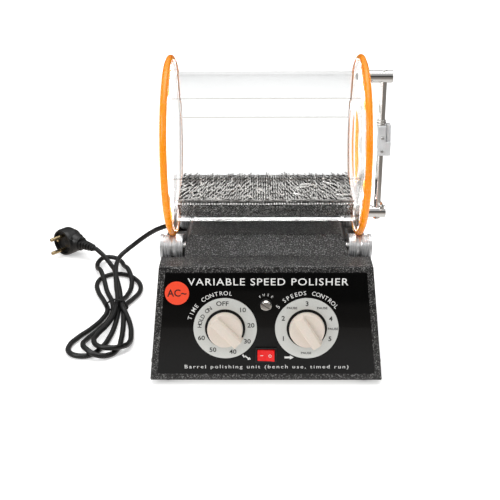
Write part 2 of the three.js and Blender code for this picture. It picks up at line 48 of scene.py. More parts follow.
# ---- where things are, in design millimetres ----
MM = 0.001
DRUM_Z = 221
AXIS = Vector(JOINTS["drum_spin"]["pos_m"])
ORIGIN = AXIS - Vector((0, 0, DRUM_Z * MM))
FOOT_H, FOOT_X, FOOT_Y = 7, 100, 84
BASE_BOTTOM, BASE_TOP = (117, 100), (105, 83.4)
SKIRT_Z, DECK_Z, SHEET = 5, 123.4, 1.5
HUMP_FOOT, HUMP_TOP, HUMP_Z = (86, 59), (78, 37), 139
NOTCH_X, NOTCH_Y, NOTCH_Z = 81.5, (25, 58.6), 112
DRIVE_X, DRIVE_Y = 73, 12
SCREW_Z = 16
RING_X, RING_R, RING_TUBE = 95, 88.6, 3
DISC_R, DISC_X = 87.2, (91, 99)
HEX_FLATS, HEX_WALL, HEX_TURN = 132.5, 3.4, 8
ROLLER_R, GROOVE_R, SHAFT_R, ROLLER_Y = 12.4, 10, 4, 40.5
AXLE_END = 106.4
ROLLER_Z = DRUM_Z - sqrt((RING_R + RING_TUBE + GROOVE_R + 0.3) ** 2 - ROLLER_Y ** 2)
POST_Z, POST_R, POST_END, BAR_X, BAR_R = 71, 6.25, 125.5, 116.7, 3.5
BLOCK_X, BLOCK_Y, BLOCK_Z = (112.6, 121.2), 7.5, (-8.6, 22)
LEVER_PIN, LEVER_END = (124.4, 2), 126.7
LID_R, LID_X, LID_HOLE = 45, (101.6, 107.6), 36
MEDIA_LEVEL = 43
PANEL_FACE = 1.5
DIAL_Z = PANEL_FACE + 0.3
DIAL_R, DIAL_HOLE, DIAL_X, DIAL_S = 31.5, 20, 40.5, 54.5
KNOB_R, KNOB_H = 17.6, 11
TIMER_REST, SPEED_REST = 135, 147
ROCKER_S, ROCKER_W, ROCKER_H, ROCKER_TILT, BEZEL = 26.5, 20, 13.8, 14, 1.8
FUSE_S, FUSE_R = 79.5, 5.4
LABEL_X, LABEL_S, LABEL_R = -87.5, 91, 12
GLAND = (-85, 88.6, 84)
CORD_R, ON_FLOOR = 3, 3.2

DRAFT = atan2(BASE_BOTTOM[1] - BASE_TOP[1], DECK_Z - FOOT_H)
PANEL = (Matrix.Translation((0, -BASE_BOTTOM[1], FOOT_H))
         @ Matrix.Rotation(pi / 2 - DRAFT, 4, "X"))
SHIFT = Matrix.Translation(ORIGIN) @ Matrix.Scale(MM, 4)


def at(x, y, z):
    """A point given in design millimetres, in the frame's metres."""
    return ORIGIN + Vector((x, y, z)) * MM


# ---- camera ----
CAMERA_AT = at(-5.23, -883.74, 476.39)
CAMERA_PITCH, CAMERA_YAW, CAMERA_ROLL = 22.738, 0.735, -0.345
LENS, SENSOR = 64.457, 36


def camera():
    data = bpy.data.cameras.new("camera")
    data.sensor_width = SENSOR
    data.lens = LENS
    data.clip_start = 0.01
    data.clip_end = 60
    eye = bpy.data.objects.new("camera", data)
    turn = (Matrix.Rotation(radians(CAMERA_YAW), 4, "Z")
            @ Matrix.Rotation(radians(90 - CAMERA_PITCH), 4, "X")
            @ Matrix.Rotation(radians(CAMERA_ROLL), 4, "Z"))
    eye.matrix_world = Matrix.Translation(CAMERA_AT) @ turn
    bpy.context.scene.collection.objects.link(eye)
    bpy.context.scene.camera = eye


# ---- shader helpers ----
def node(tree, kind, **settings):
    """A new node; a setting is one of its inputs, or else one of its properties."""
    made = tree.nodes.new(kind)
    for key, value in settings.items():
        if key in made.inputs:
            made.inputs[key].default_value = value
        else:
            setattr(made, key, value)
    return made


def shader(name, colour, roughness, metallic=0.0, **sockets):
    paint = bpy.data.materials.new(name)
    paint.use_nodes = True
    bsdf = paint.node_tree.nodes["Principled BSDF"]
    bsdf.inputs["Base Color"].default_value = (*colour, 1)
    bsdf.inputs["Roughness"].default_value = roughness
    bsdf.inputs["Metallic"].default_value = metallic
    for key, value in sockets.items():
        bsdf.inputs[key.replace("_", " ")].default_value = value
    return paint, paint.node_tree, bsdf


def noise_at(tree, scale, stretch=(1, 1, 1), detail=3.0):
    """A noise in the piece's own metres, drawn out along an axis when stretch is small there."""
    place = node(tree, "ShaderNodeTexCoord")
    size = node(tree, "ShaderNodeMapping", Scale=stretch)
    grain = node(tree, "ShaderNodeTexNoise", Scale=scale, Detail=detail)
    tree.links.new(place.outputs["Object"], size.inputs["Vector"])
    tree.links.new(size.outputs["Vector"], grain.inputs["Vector"])
    return grain.outputs["Fac"]


def ramp(tree, source, stops):
    made = node(tree, "ShaderNodeValToRGB")
    elements = made.color_ramp.elements
    while len(elements) < len(stops):
        elements.new(0.5)
    for element, (position, colour) in zip(elements, stops):
        element.position = position
        element.color = (*colour, 1)
    tree.links.new(source, made.inputs["Fac"])
    return made.outputs["Color"]


def spread_over(tree, source, start, end, low=0.0, high=1.0):
    """Runs from low to high while the source runs from start to end."""
    made = node(tree, "ShaderNodeMapRange")
    for socket, value in (("From Min", start), ("From Max", end), ("To Min", low), ("To Max", high)):
        made.inputs[socket].default_value = value
    tree.links.new(source, made.inputs["Value"])
    return made.outputs["Result"]


def height_in(tree, space):
    place = node(tree, "ShaderNodeTexCoord")
    split = node(tree, "ShaderNodeSeparateXYZ")
    tree.links.new(place.outputs[space], split.inputs["Vector"])
    return split.outputs["Z"]


def of_rays(tree, first, second, operation):
    """Two kinds of light ray, joined into one switch between 0 and 1."""
    rays = node(tree, "ShaderNodeLightPath")
    made = node(tree, "ShaderNodeMath", operation=operation, use_clamp=True)
    tree.links.new(rays.outputs[first], made.inputs[0])
    tree.links.new(rays.outputs[second], made.inputs[1])
    return made.outputs["Value"]


def show_mix(tree, share, first, second, output="Material Output"):
    """Shows the first shader, and the second by its share."""
    mix = node(tree, "ShaderNodeMixShader")
    for socket, source in enumerate((share, first, second)):
        tree.links.new(source, mix.inputs[socket])
    tree.links.new(mix.outputs["Shader"], tree.nodes[output].inputs["Surface"])


def vary_roughness(tree, bsdf, source, low, high):
    tree.links.new(spread_over(tree, source, 0, 1, low, high), bsdf.inputs["Roughness"])


def bump(tree, bsdf, source, depth, strength=1.0):
    made = node(tree, "ShaderNodeBump", Strength=strength, Distance=depth)
    tree.links.new(source, made.inputs["Height"])
    tree.links.new(made.outputs["Normal"], bsdf.inputs["Normal"])


def scaled(colour, factor):
    return tuple(min(1.0, c * factor) for c in colour)


def grained(name, colour, rough, metallic, scale, spread, depth, stretch=(1, 1, 1), **sockets):
    """A surface whose colour, gloss and height all follow a fine grain."""
    paint, tree, bsdf = shader(name, colour, rough[0], metallic, **sockets)
    fine = noise_at(tree, scale, stretch)
    tones = [(0.3, scaled(colour, 1 - spread)), (0.7, scaled(colour, 1 + spread))]
    tree.links.new(ramp(tree, fine, tones), bsdf.inputs["Base Color"])
    vary_roughness(tree, bsdf, fine, *rough)
    bump(tree, bsdf, noise_at(tree, scale * 1.7, stretch), depth)
    return paint


# ---- materials ----
# Heights in metres over which the panel's painted reflection fades from its lower half to plain black.
PANEL_PAINTED_REFLECTION = (0.0605, 0.0625)
GRAINS = {
    # colour, least and most roughness, metallic, grains per metre, contrast, depth in metres, stretch
    "plain_steel": ((0.50, 0.50, 0.49), (0.25, 0.45), 1.0, 900, 0.1, 2e-5, (1, 0.05, 1)),
    "chrome": ((0.80, 0.79, 0.77), (0.05, 0.11), 1.0, 500, 0.03, 4e-6),
    "aluminium": ((0.74, 0.75, 0.76), (0.2, 0.34), 0.6, 2600, 0.08, 1e-5, (1, 0.02, 0.02)),
    "milled": ((0.74, 0.75, 0.76), (0.28, 0.42), 0.35, 1500, 0.06, 1e-5, (1, 1, 0.04)),
    "orange_ring": ((1.0, 0.31, 0.008), (0.24, 0.30), 0.0, 180, 0.015, 4e-6),
    "rubber": ((0.006, 0.006, 0.006), (0.5, 0.7), 0.0, 900, 0.3, 3e-5),
    "cord_rubber": ((0.0045, 0.0045, 0.0045), (0.34, 0.46), 0.0, 700, 0.25, 2e-5),
    "dial_silver": ((0.72, 0.73, 0.70), (0.36, 0.5), 0.35, 1400, 0.05, 1e-5),
    "ivory": ((0.72, 0.64, 0.56), (0.34, 0.46), 0.0, 900, 0.04, 2e-5),
    "red_switch": ((0.85, 0.003, 0.003), (0.18, 0.3), 0.0, 500, 0.06, 1e-5),
    "label": ((0.9, 0.055, 0.008), (0.5, 0.62), 0.0, 1600, 0.05, 1e-5),
    # A darker copy of steel_pins: painted shade for the load's back and sides.
    "shaded_pins": ((0.27, 0.26, 0.25), (0.25, 0.4), 0.8, 800, 0.3, 1e-5),
    "steel_pins": ((0.60, 0.59, 0.57), (0.2, 0.32), 0.75, 800, 0.15, 1e-5),
    # Near-black mass under the pins: painted shade for the gaps between them.
    "pin_shade_core": ((0.012, 0.012, 0.012), (0.4, 0.6), 0.8, 700, 0.6, 5e-4),
    "white_seal": ((0.82, 0.82, 0.79), (0.4, 0.55), 0.0, 500, 0.03, 2e-5),
    "circuit": ((0.02, 0.11, 0.04), (0.3, 0.45), 0.0, 700, 0.3, 2e-5),
    "brass": ((0.78, 0.60, 0.34), (0.14, 0.26), 1.0, 1200, 0.06, 1e-5, (1, 0.05, 1)),
    "white_ink": ((0.78, 0.78, 0.76), (0.4, 0.5), 0.0, 2000, 0.08, 5e-6),
    "black_ink": ((0.006, 0.006, 0.006), (0.4, 0.5), 0.0, 2000, 0.2, 5e-6),
    # Matte black for the ring inside each dial: painted shade of the knob's recess.
    "recess": ((0.003, 0.003, 0.003), (0.6, 0.8), 0.0, 600, 0.3, 2e-5),
}
TRANSLUCENT = {
    "orange_ring": {"Subsurface_Weight": 0.35, "Subsurface_Scale": 0.003},
    "ivory": {"Subsurface_Weight": 0.1, "Subsurface_Scale": 0.002},
}


def hammertone_paint():
    """Speckled enamel: light flecks on a charcoal ground, with shallow hammered dimples."""
    paint, tree, bsdf = shader("hammertone", (0.06, 0.06, 0.06), 0.4)
    flecks = noise_at(tree, 880, detail=2.0)
    tones = [(0.41, (0.002, 0.002, 0.002)), (0.50, (0.010, 0.0098, 0.0095)),
             (0.56, (0.036, 0.035, 0.034)), (0.64, (0.24, 0.235, 0.23))]
    tree.links.new(ramp(tree, flecks, tones), bsdf.inputs["Base Color"])
    vary_roughness(tree, bsdf, flecks, 0.3, 0.6)
    bump(tree, bsdf, noise_at(tree, 640, detail=1.0), 0.0003, 0.5)
    return paint


def panel_paint():
    """Gloss black print, a little greyer over its lower half: a painted reflection of the studio."""
    paint, tree, bsdf = shader("gloss_panel", (0.006, 0.006, 0.006), 0.12, Specular_IOR_Level=0.22)
    upper = spread_over(tree, height_in(tree, "Object"), *PANEL_PAINTED_REFLECTION)
    # Greyer below, black above: the painted reflection.
    tones = [(0.0, (0.006, 0.006, 0.006)), (1.0, (0.0022, 0.0022, 0.0022))]
    tree.links.new(ramp(tree, upper, tones), bsdf.inputs["Base Color"])
    vary_roughness(tree, bsdf, noise_at(tree, 90), 0.08, 0.16)
    return paint


def acrylic_paint(name="acrylic", tint=(0.915, 0.92, 0.92), coat=1.0):
    """Clear cast sheet that lets light from lamps through."""
    paint, tree, bsdf = shader(name, tint, 0.0, Transmission_Weight=1.0, IOR=1.03, Coat_Weight=coat,
                               Coat_Roughness=0.01, Coat_IOR=1.4)
    vary_roughness(tree, bsdf, noise_at(tree, 60), 0.0, 0.012)
    rays = node(tree, "ShaderNodeLightPath")
    clear = node(tree, "ShaderNodeBsdfTransparent")
    show_mix(tree, rays.outputs["Is Shadow Ray"], bsdf.outputs["BSDF"], clear.outputs["BSDF"])
    return paint


def materials():
    made = {
        "hammertone": hammertone_paint(),
        "gloss_panel": panel_paint(),
        "acrylic": acrylic_paint(),
        "acrylic_disc": acrylic_paint("acrylic_disc", (0.97, 0.96, 0.955), 0.35),
        # Darker tint for the hexagon's corner faces: painted shade lines along the corners.
        "acrylic_edge": acrylic_paint("acrylic_edge", (0.40, 0.37, 0.34), 0.3),
    }
    for name, look in GRAINS.items():
        made[name] = grained(name, *look, **TRANSLUCENT.get(name, {}))
    return made


camera()
PAINT = materials()


# ---- shapes ----
def link(obj):
    bpy.context.scene.collection.objects.link(obj)
    return obj


def piece(name, bm, paint, body, place=Matrix(), replaces=(), sharp=32):
    """Turns a bmesh in design millimetres into a piece that rides on a body."""
    bm.transform(SHIFT @ place)
    bmesh.ops.recalc_face_normals(bm, faces=bm.faces)
    mesh = bpy.data.meshes.new(name)
    bm.to_mesh(mesh)
    bm.free()
    mesh.materials.append(PAINT[paint])
    mesh.shade_smooth()
    mesh.set_sharp_from_angle(angle=radians(sharp))
    obj = link(bpy.data.objects.new(name, mesh))
    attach(obj, body)
    if replaces:
        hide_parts(*replaces)
    return obj


def rod(start, end, radius, hole=0):
    """The profile of a plain rod or ring, for lathe."""
    return [(start, hole), (start, radius), (end, radius), (end, hole)]


FILLET_STEPS, NEARLY_STRAIGHT = 4, radians(172)


def fillet(points, radius, closed=True):
    """The outline with each corner rounded, as far as its neighbours leave room."""
    out = []
    n = len(points)
    for i, p in enumerate(points):
        p = Vector(p)
        if not closed and i in (0, n - 1):
            out.append(p)
            continue
        a, b = Vector(points[i - 1]) - p, Vector(points[(i + 1) % n]) - p
        angle = a.angle(b, 0)
        if angle > NEARLY_STRAIGHT or radius <= 0:
            out.append(p)
            continue
        back = min(radius / tan(angle / 2), a.length * 0.48, b.length * 0.48)
        start, end = p + a.normalized() * back, p + b.normalized() * back
        for k in range(FILLET_STEPS + 1):
            t = k / FILLET_STEPS
            out.append(start * (1 - t) ** 2 + p * 2 * t * (1 - t) + end * t ** 2)
    return out


def lathe(profile, segments=64, round_by=0.4, bm=None, place=None):
    """Revolves [along X, radius] points about the X axis. A profile that starts on the axis ends on it."""
    bm = bm or bmesh.new()
    solid_core = profile[0][1] == 0
    points = fillet(profile, round_by, closed=not solid_core)
    rings = []
    for x, r in points:
        if r < 1e-6:
            rings.append([bm.verts.new((x, 0, 0))])
            continue
        ring = []
        for k in range(segments):
            angle = 2 * pi * k / segments
            ring.append(bm.verts.new((x, r * cos(angle), r * sin(angle))))
        rings.append(ring)
    pairs = list(zip(rings, rings[1:])) + ([] if solid_core else [(rings[-1], rings[0])])
    for a, b in pairs:
        for k in range(segments):
            j = (k + 1) % segments
            corners = [a[k % len(a)], a[j % len(a)], b[j % len(b)], b[k % len(b)]]
            corners = list(dict.fromkeys(corners))
            if len(corners) > 2:
                bm.faces.new(corners)
    if place is not None:
        move = [v for ring in rings for v in ring]
        bmesh.ops.transform(bm, matrix=place, verts=move)
    return bm


def block(x, y, z, round_by=0.8, steps=3, taper=None, bm=None, place=None):
    """A box between pairs of limits with rounded edges; taper gives the top's own limits."""
    bm = bm or bmesh.new()
    made = bmesh.ops.create_cube(bm, size=2)["verts"]
    top_x, top_y = taper or (x, y)
    for v in made:
        upper = v.co.z > 0
        limits = (top_x, top_y) if upper else (x, y)
        v.co = Vector((limits[0][v.co.x > 0], limits[1][v.co.y > 0], z[upper]))
    if round_by:
        edges = list({e for v in made for e in v.link_edges})
        out = bmesh.ops.bevel(bm, geom=edges, offset=round_by, segments=steps, profile=0.5,
                              affect="EDGES", clamp_overlap=True)
        made = list({v for f in out["faces"] for v in f.verts} | {v for v in made if v.is_valid})
    if place is not None:
        bmesh.ops.transform(bm, matrix=place, verts=made)
    return bm


def round_edges(bm, offset, segments):
    bmesh.ops.bevel(bm, geom=list(bm.edges), offset=offset, segments=segments, profile=0.5,
                    affect="EDGES")


def carved(bm, cutters, operation="DIFFERENCE"):
    """The bmesh with each cutter taken away or added, by exact booleans."""
    def temporary(source):
        mesh = bpy.data.meshes.new("part")
        bmesh.ops.recalc_face_normals(source, faces=source.faces)
        source.to_mesh(mesh)
        source.free()
        return link(bpy.data.objects.new("part", mesh))
    body = temporary(bm)
    tools = [temporary(tool) for tool in cutters]
    for tool in tools:
        change = body.modifiers.new("cut", "BOOLEAN")
        change.operation = operation
        change.solver = "EXACT"
        change.object = tool
    bpy.context.view_layer.update()
    result = bpy.data.meshes.new_from_object(body.evaluated_get(bpy.context.evaluated_depsgraph_get()))
    out = bmesh.new()
    out.from_mesh(result)
    for obj in [body, *tools]:
        bpy.data.objects.remove(obj)
    return out


def skin(bm, rings):
    """Covers matching rings of corners with faces and closes both ends."""
    n = len(rings[0])
    for a, b in zip(rings, rings[1:]):
        for k in range(n):
            j = (k + 1) % n
            bm.faces.new([a[k], a[j], b[j], b[k]])
    bm.faces.new(rings[0])
    bm.faces.new(rings[-1][::-1])
    return bm


def merge(bm, other):
    """Moves the faces of another bmesh into this one."""
    mesh = bpy.data.meshes.new("part")
    other.to_mesh(mesh)
    other.free()
    bm.from_mesh(mesh)
    bpy.data.meshes.remove(mesh)


def soften(obj):
    """Rounds the sharp edges of a piece that keeps its mesh."""
    change = obj.modifiers.new("edges", "BEVEL")
    change.width = 0.5 * MM
    change.segments = 2
    change.limit_method = "ANGLE"
    change.angle_limit = radians(35)
    change.harden_normals = True


def along(direction, x, y, z):
    """A placement that turns the X axis to a direction and moves to a point."""
    turn = Vector((1, 0, 0)).rotation_difference(Vector(direction)).to_matrix().to_4x4()
    return Matrix.Translation((x, y, z)) @ turn


def on_panel(x, s, z=0.0):
    """A placement on the front panel, X out of the panel's face."""
    return PANEL @ along((0, 0, 1), x, s, z)


# ---- the mains cord ----
def wire(name, radius, steps, paint, replaced, runs):
    """A round wire through runs of design points: (points, whether closed, height that stays straight)."""
    data = bpy.data.curves.new(name, "CURVE")
    data.dimensions = "3D"
    data.bevel_depth = radius * MM
    data.bevel_resolution, data.resolution_u = steps
    data.use_fill_caps = True
    for points, closed, straight in runs:
        spline = data.splines.new("BEZIER")
        spline.bezier_points.add(len(points) - 1)
        spline.use_cyclic_u = closed
        for knot, point in zip(spline.bezier_points, points):
            knot.co = at(*point)
            kind = "VECTOR" if point[2] == straight else "AUTO"
            knot.handle_left_type = knot.handle_right_type = kind
    data.materials.append(PAINT[paint])
    obj = link(bpy.data.objects.new(name, data))
    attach(obj, "base")
    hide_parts(*replaced)
    return obj


def cord_points():
    """Gland, down to the bundle, three lower loops and two upper ones through the tie, then the plug.
    A point without a height lies on the floor."""
    lead = [(-85, 117.9, 84), (-86.5, 129, 83.2), (-98, 143, 80), (-116, 156, 74.5), (-132, 170, 65),
            (-146, 185, 53), (-160, 196, 40), (-171, 201, 30), (-181, 199, 22.5), (-188, 192, 18),
            (-190.5, 177, 15.8), (-188.5, 150, 15.3), (-182.5, 112, 10.5), (-177, 84, 8.7)]
    right_loop = [(-175.5, 60, 8.6), (-175.5, 35, 8.6), (-180, 10, 8.6), (-185.5, -8, 8.8),
                  (-187, -24, 9.4), (-180, -37, 9.6), (-167, -41, 9.6), (-155, -34, 7.5),
                  (-149.5, -18, 3.6), (-150.5, 5), (-155, 28), (-162, 48, 5.4), (-167.6, 60, 8.5)]
    top_loop = [(-169.9, 76, 8.6), (-168, 98, 4.4), (-166.5, 128), (-170, 152, 6.2), (-176, 168, 9.3),
                (-184, 188, 5.2), (-191, 204, 5.2), (-202, 213, 6.2), (-213, 211, 7), (-219, 199, 6),
                (-218, 183, 4.6), (-211, 165, 9.3), (-203, 143, 6), (-195, 115), (-184, 84)]
    middle_loop = [(-179.4, 60), (-181, 35), (-190, 8), (-197, -14, 5), (-198, -30, 8),
                   (-192, -43, 9.4), (-180, -50, 6), (-167, -45, 3.4), (-160, -30), (-159.5, -10),
                   (-161, 14), (-164, 40), (-166.6, 60)]
    oval = [(-166.5, 74), (-160, 92), (-154.5, 110), (-155.5, 130), (-164, 149), (-178, 163),
            (-194, 165), (-206, 155), (-210.5, 138), (-205, 112), (-194, 86)]
    left_loop = [(-186, 62), (-188, 40), (-197, 15), (-208, -6), (-214, -24), (-211.5, -39),
                 (-200.5, -47), (-188, -45), (-178.5, -30), (-173, -4), (-171.5, 28), (-172.6, 58)]
    tail = [(-173.4, 76), (-177, 104), (-184, 134, 5), (-189.5, 151, 9.2), (-194, 168, 9.4),
            (-199, 179, 9.6), (-205, 189.5, 11.6), (-211, 198.5, 13.8), (-216, 204.6, 15.8),
            (-220, 208.6, 17.3), (-222.9, 211.6, 18.4), (-226.1, 214.1, 18.8)]
    route = lead + right_loop + top_loop + middle_loop + oval + left_loop + tail
    return [point if len(point) == 3 else (*point, ON_FLOOR) for point in route]


def mains_cord():
    return wire("mains_cord", CORD_R, (5, 10), "cord_rubber", ["cord_tube", "cord_hank"],
                [(cord_points(), False, None)])


def cord_tie():
    """A thin plastic-covered wire twisted round the waist of the bundle, one end curled at the left."""
    low, high = 0.9, 13.6
    left, right, y = -189.2, -162.9, 68
    ring = [(left + 3, low), (right - 3, low), (right, low + 2.5), (right - 1.5, 7), (right - 5, 12),
            (-174, high), (-181, high), (left + 2, 8.5), (left, low + 2.5)]
    turns = [([(x, y + turn + 0.3 * sin(x), z) for x, z in ring], True, low) for turn in (-1.1, 1.1)]
    curl = [(-184, 67, 11.3), (-188, 65.6, 10.5), (-188.6, 64.8, 7), (-187.6, 65.4, 4), (-188.4, 67, 2)]
    return wire("cord_tie_wire", 0.7, (3, 12), "rubber", ["cord_tie"], [*turns, (curl, False, None)])


PLUG_AT, PLUG_TURN, PLUG_R = (-265, 244.5, 18.8), -38, 18.5
PRONG_Z, RELIEF_FLAT = 9.5, 4.4


def plug():
    """An angled round mains plug: ribbed edge, flat sides, two round pins, earth clips and a relief."""
    place = Matrix.Translation(PLUG_AT) @ Matrix.Rotation(radians(PLUG_TURN), 4, "Z")
    body = lathe([(-12, 0), (-12, 11.5), (-3, PLUG_R - 0.8), (-1, PLUG_R - 0.2), (10, PLUG_R - 0.2),
                  (14, PLUG_R - 1.2), (14, 15.2), (8.5, 14.6), (8.5, 0)], 72, 0.9,
                 place=along((0, -1, 0), 0, 0, 0))
    neck = lathe([(4, 0), (4, 13.2), (14, 12.6), (21, 9.7), (24, 9.3), (24, 0)], 48, 1.2)
    ribs = []
    for k in range(-4, 5):
        spot = Matrix.Rotation(-k * 0.21, 4, "Y") @ Matrix.Translation((-PLUG_R + 0.1, 0, 0))
        ribs.append(block((-0.5, 0.5), (-9, -1), (-0.9, 0.9), 0.3, place=spot))
    flats = [block((-8, 8), (-16, 4), (z - 3, z + 3), 1.0) for z in (PLUG_R + 1.6, -PLUG_R - 1.6)]
    holes = [lathe(rod(8, 18, 2.65), 24, 0, place=along((0, -1, 0), 0, 0, z))
             for z in (-PRONG_Z, PRONG_Z)]
    whole = carved(carved(body, [neck, *ribs], "UNION"), [*flats, *holes])
    shell = piece("plug_shell", whole, "cord_rubber", "base", place, ["plug_body"], sharp=40)
    clip = bmesh.new()
    for side in (-1, 1):
        block((side * 12.2 - 2.2, side * 12.2 + 2.2), (-12.4, -8.8), (-1.9, 1.9), 0.5, bm=clip)
    contacts = piece("plug_earth_clips", clip, "brass", "base", place)
    pins = []
    for z, name in ((PRONG_Z, "upper"), (-PRONG_Z, "lower")):
        profile = [(10, 0), (10, 2.2), (10.4, 2.4), (31.5, 2.4), (32.6, 1.7), (33, 0.8), (33, 0)]
        prong = lathe(profile, 32, 0.3, place=along((0, -1, 0), 0, 0, z))
        pins.append(piece(f"plug_prong_{name}", prong, "brass", "base", place, [f"plug_pin_{name}"]))
    profile = [(24.3, 0), (24.3, 7.6)]
    for k in range(5):
        x, r = 24.6 + k * 4.6, 7.5 - k * 0.6
        profile += [(x, r), (x + 3.1, r - 0.15), (x + 3.4, r - 1.9), (x + 4.4, r - 2.0)]
    relief = lathe(profile + [(46.5, 4.2), (48.8, 3.6), (48.8, 0)], 40, 0.35)
    for v in relief.verts:
        if abs(v.co.z) > RELIEF_FLAT:
            past = (abs(v.co.z) - RELIEF_FLAT) * 0.35
            v.co.z = copysign(RELIEF_FLAT + past, v.co.z)
    tail = piece("plug_relief", relief, "cord_rubber", "base", place, ["plug_strain_relief"], sharp=40)
    return [shell, contacts, *pins, tail]


def gland():
    """A hexagonal nut and a tapered, ribbed sleeve where the cord leaves the rear wall."""
    bm = bmesh.new()
    lathe([(2.4, 0), (2.4, 9.2), (3.2, 10), (6.7, 10), (7.5, 9.2), (7.5, 0)], 6, 0.25, bm=bm)
    lathe([(-9, 0), (-9, 6.2), (-8.4, 6.6), (2.4, 6.6), (2.4, 0)], 40, 0.2, bm=bm)
    profile = [(7.5, 0), (7.5, 6.9)]
    for k in range(5):
        start, r = 9 + k * 3.6, 6.9 - k * 0.42
        profile += [(start, r), (start + 2.4, r - 0.2), (start + 2.6, r - 1.1), (start + 3.4, r - 1.2)]
    lathe(profile + [(28.3, 4.4), (28.3, 0)], 40, 0.25, bm=bm)
    place = along((0, 1, 0), *GLAND)
    return piece("cord_sleeve", bm, "rubber", "base", place, ["cord_gland"])


CORD = mains_cord()
TIE = cord_tie()
PLUG_PIECES = plug()
SLEEVE = gland()


# ---- the sheet-steel base ----
def base_half(z):
    share = (z - FOOT_H) / (DECK_Z - FOOT_H)
    return [b - (b - t) * share for b, t in zip(BASE_BOTTOM, BASE_TOP)]


def frustum(low, z0, high, z1, round_by, steps):
    """A tapered box from its half sizes at the foot and at the top."""
    pairs = [((-a, a), (-b, b)) for a, b in (low, high)]
    return block(*pairs[0], (z0, z1), round_by, steps, taper=pairs[1])


def thinner(half):
    """Half sizes less the sheet's thickness."""
    return [h - SHEET for h in half]


def panel_cutters():
    """Spindle, switch and fuse holes through the front wall and its panel."""
    cutters = [lathe(rod(-6, 6, 4.5), 32, 0, place=on_panel(x, DIAL_S)) for x in (-DIAL_X, DIAL_X)]
    cutters.append(lathe(rod(-6, 6, 4.3), 32, 0, place=on_panel(0, FUSE_S)))
    half_w, half_h = ROCKER_W / 2 + 0.3, ROCKER_H / 2 + 0.3
    cutters.append(block((-half_w, half_w), (ROCKER_S - half_h, ROCKER_S + half_h), (-6, 6), 0,
                         place=PANEL))
    return cutters


def notches():
    """Roller notches in the cover's shoulders, a deeper one by the drive, with the shafts' holes."""
    cutters = []
    for side in (-1, 1):
        for end in (-1, 1):
            driven = side < 0 < end
            x = sorted((side * (DRIVE_X if driven else NOTCH_X), side * 130))
            y = sorted((end * (DRIVE_Y if driven else NOTCH_Y[0]), end * NOTCH_Y[1]))
            cutters.append(block(x, y, (NOTCH_Z, 150), 0))
            hole = rod(*sorted((side * 74, side * 90)), SHAFT_R + 1.2)
            cutters.append(lathe(hole, 40, 0, place=Matrix.Translation((0, end * ROLLER_Y, ROLLER_Z))))
    return cutters


def base_shell():
    outer = frustum(base_half(SKIRT_Z), SKIRT_Z, BASE_TOP, DECK_Z, 1.6, 4)
    hump = frustum(HUMP_FOOT, DECK_Z - 6, HUMP_TOP, HUMP_Z, 1.6, 4)
    for v in hump.verts:
        if v.co.z < DECK_Z - 2:
            v.co.z = DECK_Z - 1
    body = carved(outer, [hump], "UNION")
    low, high = SKIRT_Z - 2, DECK_Z - SHEET
    cutters = [frustum(thinner(base_half(low)), low, thinner(base_half(high)), high, 0.4, 1),
               frustum(thinner(HUMP_FOOT), high - 1, thinner(HUMP_TOP), HUMP_Z - SHEET, 0.4, 1)]
    cutters += notches()
    for k in range(7):
        cutters.append(block((30 + k * 8, 33.5 + k * 8), (70, 110), (40, 75), 1.6, 3))
    cutters.append(lathe(rod(-20, 30, 7.2), 40, 0, place=along((0, 1, 0), *GLAND)))
    body = carved(body, cutters + panel_cutters())
    piece("base_shell", body, "hammertone", "base", Matrix(), ["base_cover"], sharp=40)


def screw(bm, place, r=3.2, cross=True):
    """A pan head with its cross recess."""
    head = lathe([(-0.6, 0), (-0.6, r), (0.5, r), (1.5, r * 0.72), (1.9, 0)], 28, 0.3)
    if cross:
        long, thin = (-r * 0.62, r * 0.62), (-0.35, 0.35)
        head = carved(head, [block((0.9, 3), long, thin, 0), block((0.9, 3), thin, long, 0)])
    head.transform(place)
    merge(bm, head)


def base_screws():
    """Screws along the foot of the side and rear walls that hold the cover to its bottom plate."""
    bm = bmesh.new()
    lean_x, lean_y = [(b - t) / (DECK_Z - FOOT_H) for b, t in zip(BASE_BOTTOM, BASE_TOP)]
    half_x, half_y = [h + 0.2 for h in base_half(SCREW_Z)]
    for side in (-1, 1):
        for y in (-78, 78):
            screw(bm, along((side, 0, lean_x), side * half_x, y, SCREW_Z))
    for x in (-92, 92):
        screw(bm, along((0, 1, lean_y), x, half_y, SCREW_Z))
    piece("base_screws", bm, "plain_steel", "base", sharp=40)


def feet():
    profile = [(0, 3.2), (0, 7.4), (1.2, 8.3), (5.2, 9), (6.7, 9), (6.7, 1.6), (3.4, 1.6), (3.0, 3.2)]
    for x, column in ((-FOOT_X, "left"), (FOOT_X, "right")):
        for y, row in ((-FOOT_Y, "front"), (FOOT_Y, "rear")):
            name = f"foot_{row}_{column}"
            place = along((0, 0, 1), x, y, 0)
            piece(f"{name}_pad", lathe(profile, 48, 0.6), "rubber", "base", place, [name])


def panel_plate():
    bm = block((-1, 1), (6, DECK_Z - FOOT_H - 5), (0.3, PANEL_FACE), 0)
    narrows = (BASE_BOTTOM[0] - BASE_TOP[0]) / 117.6
    for v in bm.verts:
        v.co.x *= BASE_BOTTOM[0] - 7 - narrows * v.co.y
    round_edges(bm, 0.25, 2)
    bm.transform(PANEL)
    plate = carved(bm, panel_cutters())
    piece("front_panel", plate, "gloss_panel", "base", Matrix(), ["control_panel"], sharp=30)


# ---- lettering ----
def letters(bm, text, size, place, spread=1.0, bold=0.0, wide=1.0):
    """Adds raised lettering, centred, lying in the placement's XY plane."""
    data = bpy.data.curves.new("text", "FONT")
    data.body = text
    data.size = size
    data.align_x = "CENTER"
    data.align_y = "CENTER"
    data.space_character = spread
    data.extrude = 0.04
    data.offset = bold
    data.resolution_u = 3
    obj = link(bpy.data.objects.new("text", data))
    bpy.context.view_layer.update()
    mesh = bpy.data.meshes.new_from_object(obj)
    bpy.data.objects.remove(obj)
    mesh.transform(place @ Matrix.Diagonal((wide, 1, 1, 1)))
    bm.from_mesh(mesh)
    bpy.data.meshes.remove(mesh)


